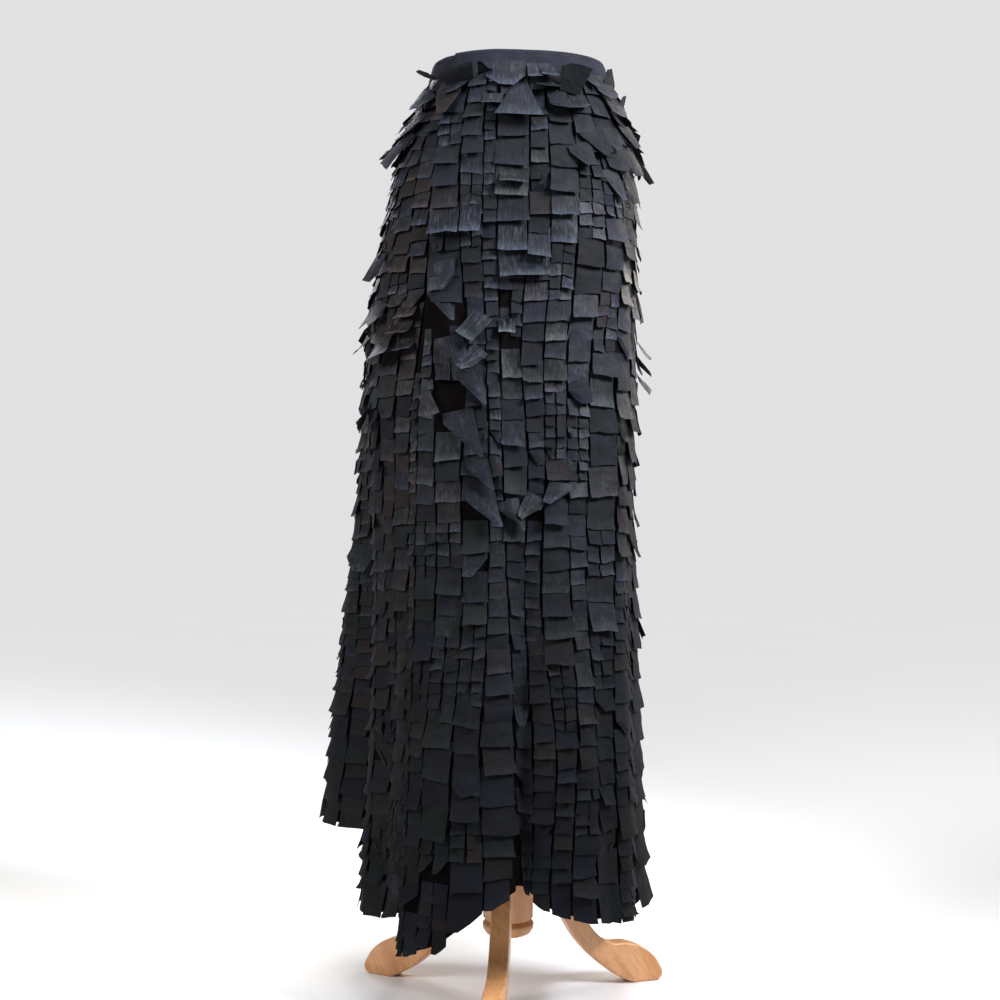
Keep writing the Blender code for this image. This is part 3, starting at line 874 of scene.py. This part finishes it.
# Places in front where tabs are pushed aside and the dark ground cloth shows.
BareSpot = namedtuple("BareSpot", "angle height halfAngle halfHeight")
bareSpots = rowsOf(
    BareSpot, "height halfHeight",
    (-34.0, 776, 7.0, 16), (-31.0, 690, 8.0, 29), (-22.0, 613, 5.0, 13), (-20.0, 565, 6.0, 18),
    (11.0, 568, 4.5, 13), (-6.0, 802, 4.5, 10), (-6.0, 762, 4.5, 16), (21.0, 588, 4.5, 12),
)
# A slanting gap low on the wrap, from side to side: each column stops there and starts again.
slant = {"angles": (-43.0, -19.0), "heights": (0.132, 0.222), "gap": 0.02, "near": 0.006}


def isBare(angle, height):
    for spot in bareSpots:
        across = angleBetween(angle, spot.angle) / spot.halfAngle
        up = (height - spot.height) / spot.halfHeight
        if across**2 + up**2 < 1.0:
            return True
    return False


def slantHeight(angle):
    first, last = slant["angles"]
    low, high = slant["heights"]
    share = (angleBetween(angle, 0.0) - first) / (last - first)
    return low + (high - low) * share if 0.0 <= share <= 1.0 else None


def sewColumn(target, left, right, hem, lift, chance):
    height = panelTop - tabSizes["topGap"]
    split = 0
    while True:
        middleAngle = 0.5 * (left(height) + right(height))
        lowest = hemHeight(hem, middleAngle)
        width = math.radians(right(height) - left(height)) * radiusAt(middleAngle, height)
        if width < tabSizes["leastWidth"]:
            height -= tabSizes["narrowStep"]
            continue
        if split == 0 and width > tabSizes["splitFrom"] and chance.random() < tabSizes["splitChance"]:
            split = chance.randint(*tabSizes["splitRows"])
        parts = 2 if split > 0 else 1
        pitch = width / parts * chance.uniform(*tabSizes["pitch"])
        most = tabSizes["hipPitch"] if height > tabSizes["hipFrom"] else tabSizes["mostPitch"]
        pitch = min(most, max(tabSizes["leastPitch"], pitch))
        last = height - pitch < lowest + 0.5 * pitch
        if last:
            pitch = height - lowest
        cut = slantHeight(middleAngle)
        stops = cut is not None and height > cut > height - pitch - slant["near"]
        if stops:
            pitch = height - cut
        for part in range(parts):
            def middle(here, part=part, parts=parts):
                share = (part + 0.5) / parts
                return left(here) + (right(here) - left(here)) * share
            tab = pickTab(chance, width / parts, pitch + tabSizes["overlap"], height, middleAngle)
            half = 0.5 * (right(height) - left(height)) / parts
            if last:
                slope = hemHeight(hem, middle(height) - half) - hemHeight(hem, middle(height) + half)
                tab = tab._replace(tilt=slope, fold=0.0, taper=0.0, turn=0.0)
            if stops:
                tab = tab._replace(tilt=tabSizes["gapTilt"] * width, turn=0.0, rise=tabSizes["gapRise"])
            if not isBare(middle(height), height - 0.5 * pitch):
                placeTab(target, tab, middle, height + tabSizes["overlap"], lift, tabSizes["root"])
        split = max(0, split - 1)
        height -= pitch + (slant["gap"] if stops else 0.0)
        if height <= lowest + tabSizes["hemLeft"]:
            break


# Where the tab columns meet in front, read down the skirt.
frontNames = "height over1 over2 over3 front1 front2 front3 front4 front5 front6 front7"
FrontRow = namedtuple("FrontRow", frontNames)
frontRows = rowsOf(
    FrontRow, "height",
    (1070, -40, -27, -16, 8, 18, 30, 43, 56, 68, 81),
    (970, -40, -27, -16, 8, 18, 32, 44, 56, 68, 81),
    (870, -40, -26, -16, 6, 18, 30, 44, 56, 68, 80),
    (750, -37, -22, -14, 3, 14, 25, 36, 48, 62, 77),
    (640, -35, -24, -12, 6, 14, 24, 34, 48, 59, 74),
    (470, -33, -22, -12, 5, 12, 24, 31, 45, 58, 74),
    (310, -36, -24, -14, 9, 17, 24, 33, 43, 57, 73),
    (180, -36, -24, -12, 8, 14, 21, 30, 44, 57, 73),
)


def linesNamed(start):
    names = [name for name in FrontRow._fields if name.startswith(start)]
    return [lambda height, name=name: smoothValue(frontRows, "height", name, height) for name in names]


# Hidden sides: columns of unlike widths that sway a little.
sways = {"far": (0.4, 1.3), "phase": (0.0, 6.3), "perMetre": 7.0}


def evenLines(start, end, widths, chance):
    lines = []
    for k in range(len(widths) + 1):
        share = sum(widths[:k]) / sum(widths)
        far = 0.0 if k in (0, len(widths)) else chance.uniform(*sways["far"])
        phase = chance.uniform(*sways["phase"])

        def line(height, share=share, far=far, phase=phase):
            sway = far * math.sin(sways["perMetre"] * height + phase)
            return start(height) + (end(height) - start(height)) * share + sway
        lines.append(line)
    return lines


def ringLength(first, last, height, steps=40):
    spots = [skirtPoint(first + (last - first) * k / steps, height) for k in range(steps + 1)]
    return sum((two - one).length for one, two in zip(spots, spots[1:]))


def makePanel(name, start, end, hem, lift, lines, seed, lifted):
    chance = random.Random(seed)
    base, area = makeGround(name + "_ground", start, end, hem, lift)
    target = bmesh.new()
    target.verts.layers.float_vector.new("tabSeed")
    target.loops.layers.uv.new("tabUV")
    for left, right in zip(lines, lines[1:]):
        sewColumn(target, left, right, hem, lift, chance)
    for row in lifted:
        sewLifted(target, row, lift, chance)
    tabs = finishMesh(target, name + "_tabs", ribbon)
    long = round(panelTop - min(row.height for row in hem), 3)
    wide = round(max(ringLength(start(h), end(h), h) for h in groundCloth["measuredAt"]), 3)
    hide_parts(name)
    for piece in (base, tabs):
        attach(piece, "root")
    print(name, "sewn,", len(tabs.data.polygons), "faces, cut", wide, long, round(area, 4))


# Tabs lifted off the front, listed one by one: angle and height of the sewn top, then the tab's own form.
Lifted = namedtuple("Lifted", "angle height width length rise curve turn lean fold tone shine taper point",
                    defaults=(-0.05, 0.0))
liftedOver = rowsOf(
    Lifted, "height width length lean",
    (-33, 1062, 36, 22, 122, 20, 8, 4, 0, 0.05, 0.2, 0.3, 0),
    (-18, 1071, 14, 26, 116, 0, 20, 3, 0, 0.05, 0.1, -0.6, 0.8),
    (-39, 1057, 28, 50, 13, 6, 5, 4, 0, 0.95, 0.35, 0.1, 0.8),
    (-12, 1044, 20, 19, 12, 46, 0, 1, 0, 0.6, 1),
    (-33.5, 911, 31, 34, 5, 34, 2, 2, 0, 0.3, 1),
    (-21.5, 911, 21, 34, 5, 36, 0, -2, 0, 0.35, 1),
    (-34, 852, 28, 36, 8, 10, 2, 8, 0.4, 0.45, 0.8),
    (-34, 822, 28, 42, 10, 10, 4, -6, -0.85, 0.45, 0.5),
    (-15, 790, 22, 34, 16, 8, -36, 10, 0, 0.55, 1),
    (-30, 766, 28, 44, 12, 12, 12, -8, -0.85, 0.4, 0.5),
    (-16, 752, 18, 32, 14, 16, -44, 10, 0.3, 0.4, 1),
    (-22, 732, 28, 46, 10, 10, 10, -6, -0.85, 0.45, 0.5),
    (-40, 704, 13, 30, 16, 8, 30, -6, 0, 0.85, 0.8),
    (-26, 684, 34, 58, 10, 10, 12, -8, -0.9, 0.5, 0.5, 0.1),
    (-17, 628, 22, 36, 12, 12, 12, -6, -0.85, 0.5, 0.5),
    (-16, 596, 30, 46, 12, 14, 12, -10, -0.85, 0.45, 0.6),
)
liftedFront = rowsOf(
    Lifted, "height width length lean",
    (-6, 1087, 41, 40, 8, 8, 3, 2, 0, 0.35, 0.9, -0.15, 0.48),
    (4, 1072, 25, 60, 9, 12, -3, 3, 0, 0.4, 0.6, 1.5, 0),
    (12, 1084, 14, 24, 20, 20, 0, 0, 0, 0.4, 1),
    (20, 1084, 16, 24, 24, 24, 2, 1, 0, 0.3, 1),
    (20, 1060, 26, 19, 34, 50, -4, 2, 0, 0.74, 0.9, 0, 0.5),
    (32, 1048, 26, 40, 142, 0, -10, 8, 0, 0, 0, 0.3, 0.12),
    (0, 955, 32, 24, 10, 50, -4, 2, 0, 0.72, 1),
    (46, 1078, 12, 28, 22, 10, 14, 2, 0, 0.5, 0.9, 0, 0.6),
    (30, 1041, 40, 28, 26, 48, 6, 4, 0, 0.74, 0.9, 0, 0.55),
    (56, 1077, 26, 34, 14, 8, 8, 4, 0, 0.3, 0.5, 0, 0.3),
    (60, 1058, 26, 36, 14, 8, 12, 4, 0, 0.2, 0.5, 0, 0.3),
    # Painted shade: these flaps on the right of the hip are given the lowest tones and little sheen, for
    # the shadow of the flaps above.
    (64, 1062, 26, 36, 150, 8, 10, 8, 0, 0.05, 0.1, -0.2, 0.8),
    (70, 1040, 22, 26, 140, 8, 14, 6, 0, 0.05, 0.1, -0.2, 0.7),
    (48, 1008, 26, 40, 14, 14, 24, 6, 0, 0.05, 0.3, 0, 0.9),
    (52, 995, 32, 40, 11, 4, 12, 8, 0, 0.05, 0.1, 0, 0.2),
    (40, 1004, 30, 48, 16, 0, 24, 8, 0, 0, 0.1, 0.2, 1),
    (62, 990, 30, 50, 14, 0, 20, 10, 0, 0, 0.1, 0, 1),
    (32, 985, 24, 40, 15, 10, 20, 6, 0, 0.05, 0.3, 0.1, 0.8),
    (66, 1024, 30, 44, 18, 0, 16, 10, 0, 0, 0.1, 0, 0.8),
    (58, 952, 28, 46, 12, 4, 22, 8, 0, 0.1, 0.2, 0, 1),
    (48, 960, 26, 56, 9, 8, 24, 6, 0, 0.25, 0.5, -0.3, 0.9),
    (4, 862, 54, 32, 6, 26, 3, 3, 0, 0.5, 1),
    (89, 776, 22, 28, 34, 10, 16, 4, 0, 0.6, 0.9),
    (92, 756, 20, 26, 40, 4, -14, 4, 0, 0.1, 0.4),
    (88, 736, 22, 28, 34, 10, 20, 4, 0, 0.2, 0.5),
    # Painted highlight: this tab's shine of 2 paints its sheen pale.
    (-4, 785, 18, 18, 12, 36, 0, 1, 0, 0.52, 2),
    (-4, 585, 24, 38, 12, 12, 16, -8, -0.85, 0.5, 0.5),
    (21, 606, 24, 30, 12, 14, -20, 10, 0.7, 0.35, 0.8),
    (10, 590, 22, 34, 14, 14, -30, 10, 0.6, 0.6, 0.8),
)
liftedUnder = rowsOf(
    Lifted, "height width length lean",
    (300, 1076, 30, 30, 98, 14, -14, 10, 0, 0.05, 0.3, 0, 0.4),
    (304, 1058, 26, 32, 26, 14, -36, 10, 0, 0.2, 0.5, 0, 0.4),
    (303, 1034, 22, 30, 20, 12, -34, 8, 0, 0.85, 0.6, 0, 0.4),
    (292, 1066, 24, 28, 22, 12, -24, 8, 0, 0.1, 0.3, 0, 0.5),
    (311, 808, 24, 24, 10, 50, 4, 2, 0, 0.95, 1),
    (310, 788, 24, 24, 12, 60, -3, 2, 0, 0.9, 1),
    (311, 770, 22, 24, 10, 60, 3, 2, 0, 0.85, 1),
    (302, 782, 30, 28, 14, 40, -22, 8, 0, 0.95, 0.9, 0, 0.4),
    (297, 812, 24, 34, 14, 16, -20, 8, 0, 0.92, 0.8, 0, 0.4),
    (288, 804, 22, 30, 26, 12, -20, 8, 0, 0.3, 0.5, 0, 0.6),
    (285, 776, 22, 30, 34, 6, -20, 8, 0.4, 0.2, 0.4, 0, 0.4),
)
# A lifted tab that lies nearly flat is sewn closer to the skirt than a steep one.
liftedSizes = {"tilt": 0.001, "flatBelow": 12, "flatOut": 0.0015, "steepOut": 0.004}


def sewLifted(target, row, lift, chance):
    tab = Tab(row.width, row.length, row.rise, row.curve, row.turn, liftedSizes["tilt"], row.lean, 0.0,
              row.taper, row.point, row.fold, row.tone, row.shine, chance.uniform(0.0, 50.0))
    out = liftedSizes["flatOut" if row.rise < liftedSizes["flatBelow"] else "steepOut"]
    placeTab(target, tab, constant(row.angle), row.height, lift, tabSizes["root"] + out)


# The hidden sides have as many lifted tabs as the front, by turns under the band and lower down.
scatter = {
    "along": (0.2, 0.8),
    "height": ((1.0, 1.072), (0.45, 0.95)),
    "width": (0.018, 0.036),
    "length": (0.028, 0.048),
    "rise": ((12.0, 32.0), (10.0, 24.0)),
    "curve": (-10.0, 30.0),
    "turn": (-34.0, 34.0),
    "lean": (-0.01, 0.01),
    "fold": [0.0, 0.35, -0.5],
}


def scatterLifted(first, last, count, seed):
    chance = random.Random(seed)
    rows = []
    for k in range(count):
        angle = first + (last - first) * (k + chance.uniform(*scatter["along"])) / count
        spans = [scatter["height"][k % 2], scatter["width"], scatter["length"], scatter["rise"][k % 2],
                 scatter["curve"], scatter["turn"], scatter["lean"]]
        form = [chance.uniform(*span) for span in spans]
        rows.append(Lifted(angle, *form, chance.choice(scatter["fold"]), chance.random(), chance.random()))
    return rows


def constant(angle):
    return lambda height: angle


def tuckedEdge(height):
    return 360.0 + lapEdge(height) - wrap["underGap"]


# The panels that the photo's side hides, whole or in part, with the widths of their columns.
HiddenPanel = namedtuple("HiddenPanel", "name first last lined hem widths seed lifted")
rightSeam, backSeam, leftSeam = skirt["rightSeam"], skirt["backSeam"], skirt["leftSeam"]
hiddenPanels = rowsOf(
    HiddenPanel, "",
    ("back_right_panel", rightSeam, backSeam, constant(backSeam), backHem,
     [1.0, 0.8, 1.0, 0.85, 1.1, 0.9, 1.0, 0.8, 1.0], 37, scatterLifted(rightSeam, backSeam, 22, 37)),
    ("back_left_panel", backSeam, leftSeam, constant(leftSeam), backHem,
     [1.0, 0.8, 1.0, 0.8, 0.6, 0.7, 0.6, 0.7, 0.6, 0.7, 0.6], 41,
     scatterLifted(backSeam, leftSeam, 22, 41)),
    ("under_panel", leftSeam, skirt["underEnd"], tuckedEdge, underHem,
     [0.8, 1.0, 0.7, 0.9, 0.7, 0.8], 53, liftedUnder + scatterLifted(264.0, 302.0, 10, 61)),
)


def sewPanels():
    vent, ventTabs = wrap["ventCloth"], wrap["ventTabs"]
    makePanel("over_panel", lapEdge, besideVent(-vent), overHem, lapLift,
              [lapEdge, wrapInner, *linesNamed("over"), besideVent(-ventTabs)], 11, liftedOver)
    makePanel("front_panel", besideVent(vent), constant(rightSeam), frontHem, lapLift,
              [besideVent(ventTabs), *linesNamed("front"), constant(rightSeam)], 23, liftedFront)
    chance = random.Random(5)
    for panel in hiddenPanels:
        start = constant(panel.first)
        lines = evenLines(start, panel.lined, panel.widths, chance)
        makePanel(panel.name, start, constant(panel.last), panel.hem, noLift,
                  lines, panel.seed, panel.lifted)


sewPanels()


# Waistband.
band = {
    "end": 338.0,
    "liftBefore": 100.0,
    "steps": 260,
    "rows": 8,
    "out": 0.0004,
    "thickness": 0.0016,
    "roll": 0.0009,
    "slack": 0.0005,
    "slackNoise": (0.12, 1.4, 3.0),
    "stitch": 0.0028,
    "stitchGap": 0.0012,
    "edgeIn": 0.0035,
    "threadOut": 0.0026,
    "threadWidth": 0.0006,
}


def bandLift(angle):
    return lapLift(angle) if angle < band["liftBefore"] else 0.0


def makeBand():
    first, last = wrapEdge(skirt["waistTop"]), band["end"]
    bm = bmesh.new()
    bmesh.ops.create_grid(bm, x_segments=band["steps"], y_segments=band["rows"], size=0.5)
    low = skirt["waistTop"] - skirt["bandHeight"]

    def spotOf(across, up):
        angle = first + (last - first) * across
        height = low + skirt["bandHeight"] * up
        perDegree, perBand, start = band["slackNoise"]
        slack = band["slack"] * noise.noise(Vector((angle * perDegree, up * perBand, start)))
        roll = band["roll"] * math.sin(math.pi * up)
        return skirtPoint(angle, height, bandLift(angle) + band["out"] + roll + slack)

    mapGrid(bm, spotOf)
    piece = finishMesh(bm, "waistband_cloth", bandTwill, 60.0)
    thicken(piece, band["thickness"], 1.0)
    long = round(math.radians(last - first) * radiusAt(90.0, low + skirt["bandHeight"] / 2), 3)

    stitches = bmesh.new()
    for edge in (band["edgeIn"], skirt["bandHeight"] - band["edgeIn"]):
        angle, height = first + 1.0, low + edge
        while angle < last - 1.0:
            out = bandLift(angle) + band["threadOut"]
            spot = skirtPoint(angle, height, out)
            wide = band["threadWidth"] / 2
            made = bmesh.ops.create_cone(stitches, cap_ends=True, segments=6,
                                         radius1=wide, radius2=wide, depth=band["stitch"])
            turn = (skirtPoint(angle + 0.5, height, out) - spot).to_track_quat("Z", "Y")
            laid = Matrix.Translation(spot) @ turn.to_matrix().to_4x4()
            bmesh.ops.transform(stitches, matrix=laid, verts=made["verts"])
            angle += math.degrees((band["stitch"] + band["stitchGap"]) / radiusAt(angle, height))
    sewing = finishMesh(stitches, "waistband_stitches", thread)
    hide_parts("waistband")
    for each in (piece, sewing):
        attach(each, "root")
    print("waistband made, cut", long, skirt["bandHeight"])


makeBand()


# Form and stand.
form = {
    "around": 112,
    "rows": 90,
    "hipLow": 0.8,
    "leastGap": 0.0003,
    "rimNear": 0.02,
    "capInset": 0.02,
    "dome": 0.0015,
}
stand = {"poleX": skirt["waistX"] - 0.007, "poleY": skirt["waistY"], "turnSteps": 64}
weld = 1e-5

FormRing = namedtuple("FormRing", "height gap girth")
formRings = rowsOf(
    FormRing, "height gap",
    (1099, 4, 1.0), (1097.5, 1.2, 1.0), (1094, 0.3, 1.0), (1087, 0.3, 1.0), (1072, 1.5, 1.0),
    (1062, 2.4, 1.0), (1045, 3.6, 1.0), (1020, 4, 1.0), (980, 5, 1.0), (930, 5.5, 1.0),
    (870, 6, 0.99), (810, 7, 0.97), (760, 8, 0.93), (720, 8, 0.87), (690, 8, 0.77),
    (670, 8, 0.64), (660, 8, 0.48),
)

PoleStep = namedtuple("PoleStep", "height radius")
poleOutline = rowsOf(
    PoleStep, "",
    (0.6597, 0.0165), (0.29, 0.0165), (0.2865, 0.0215), (0.2825, 0.0245), (0.2775, 0.0264),
    (0.272, 0.027), (0.2665, 0.0264), (0.2615, 0.0245), (0.2575, 0.0215), (0.253, 0.02),
    (0.244, 0.0206), (0.2415, 0.0285), (0.24, 0.03), (0.0925, 0.03), (0.0915, 0.0275),
    (0.0895, 0.0268), (0.0875, 0.0282), (0.086, 0.03), (0.084, 0.0307), (0.0805, 0.0305),
    (0.078, 0.0295), (0.0735, 0.0262), (0.071, 0.021),
)

legAngles = {"leg_front": -6.5, "leg_right": 109.0, "leg_left": -118.0}
LegPoint = namedtuple("LegPoint", "reach height corner")
legOutline = rowsOf(
    LegPoint, "reach height",
    (30.3, 205, 1), (54, 178, 0), (82, 116, 0), (106, 69, 0), (128, 52, 0), (152, 49, 0), (177, 38, 0),
    (193, 20, 0), (197, 7, 0), (191, 0, 1), (159, 0, 1), (138, 10, 0), (112, 29, 0), (86, 56, 0),
    (60, 98, 0), (30.3, 140, 1),
)
legBoard = {"width": 0.023, "rounding": 0.003, "roundSteps": 4, "curveSteps": 10, "grainTilt": 38.0}


def makePole():
    bm = bmesh.new()
    places = [(0.0, 0.0, poleOutline[0].height)]
    places += [(step.radius, 0.0, step.height) for step in poleOutline]
    places += [(0.0, 0.0, poleOutline[-1].height)]
    verts = [bm.verts.new(place) for place in places]
    edges = [bm.edges.new(pair) for pair in zip(verts, verts[1:])]
    bmesh.ops.spin(bm, geom=verts + edges, cent=(0, 0, 0), axis=(0, 0, 1), angle=math.tau,
                   steps=stand["turnSteps"], use_merge=True)
    bmesh.ops.remove_doubles(bm, verts=bm.verts[:], dist=weld)
    bmesh.ops.recalc_face_normals(bm, faces=bm.faces[:])
    bmesh.ops.translate(bm, vec=(stand["poleX"], stand["poleY"], 0.0), verts=bm.verts[:])
    beech = beechMaterial("beechPole", (0.0, 0.0, 0.0))
    replaceNode(finishMesh(bm, "pole_turned", beech, 35.0), "pole")


def makeLeg(name, angle):
    data = bpy.data.curves.new(name, "CURVE")
    data.dimensions = "2D"
    data.fill_mode = "BOTH"
    data.extrude = legBoard["width"] / 2 - legBoard["rounding"]
    data.bevel_depth = legBoard["rounding"]
    data.bevel_resolution = legBoard["roundSteps"]
    data.offset = -legBoard["rounding"]
    data.resolution_u = legBoard["curveSteps"]
    line = data.splines.new("BEZIER")
    line.bezier_points.add(len(legOutline) - 1)
    line.use_cyclic_u = True
    for knot, row in zip(line.bezier_points, legOutline):
        knot.co = (row.reach, row.height, 0.0)
        knot.handle_left_type = knot.handle_right_type = "VECTOR" if row.corner else "AUTO"
    drawn = placeObject(name + "_drawn", data)
    bpy.context.view_layer.update()
    flat = bpy.data.meshes.new_from_object(drawn.evaluated_get(bpy.context.evaluated_depsgraph_get()))
    bpy.data.objects.remove(drawn)
    bm = bmesh.new()
    bm.from_mesh(flat)
    bmesh.ops.remove_doubles(bm, verts=bm.verts[:], dist=weld)
    stood = Matrix.Translation((stand["poleX"], stand["poleY"], 0.0))
    stood = stood @ Matrix.Rotation(math.radians(angle - 90.0), 4, "Z")
    stood = stood @ Matrix.Rotation(math.radians(90.0), 4, "X")
    bmesh.ops.transform(bm, matrix=stood, verts=bm.verts[:])
    bmesh.ops.recalc_face_normals(bm, faces=bm.faces[:])
    alongGrain = (0.0, math.radians(legBoard["grainTilt"]), math.radians(90.0 - angle))
    beech = beechMaterial("beech_" + name, alongGrain)
    replaceNode(finishMesh(bm, name + "_board", beech, 35.0), name)


def makeForm():
    bm = bmesh.new()
    bmesh.ops.create_grid(bm, x_segments=form["around"], y_segments=form["rows"], size=0.5)
    top, bottom = formRings[0].height, formRings[-1].height

    def spotOf(across, up):
        height = bottom + (top - bottom) * up
        angle = 360.0 * across
        gap = max(smoothValue(formRings, "height", "gap", height), form["leastGap"])
        girth = smoothValue(formRings, "height", "girth", height)
        radius = (ringRadius(angle, max(height, form["hipLow"])) - gap) * girth
        return ringSpot(angle, radius, dippedHeight(angle, height))

    mapGrid(bm, spotOf)
    bmesh.ops.remove_doubles(bm, verts=bm.verts[:], dist=weld)
    for end, rise in ((top, form["dome"]), (bottom, 0.0)):
        rim = [edge for edge in bm.edges
               if edge.is_boundary and abs(edge.verts[0].co.z - end) < form["rimNear"]]
        cap = bmesh.ops.edgeloop_fill(bm, edges=rim)["faces"]
        bmesh.ops.inset_region(bm, faces=cap, thickness=form["capInset"])
        bmesh.ops.translate(bm, vec=(0, 0, rise), verts=cap[0].verts[:])
    bmesh.ops.recalc_face_normals(bm, faces=bm.faces[:])
    replaceNode(finishMesh(bm, "form_cover", jersey, 50.0), "hip_form")


makePole()
for name, angle in legAngles.items():
    makeLeg(name, angle)
makeForm()
print("form and stand made")

bpy.context.view_layer.update()
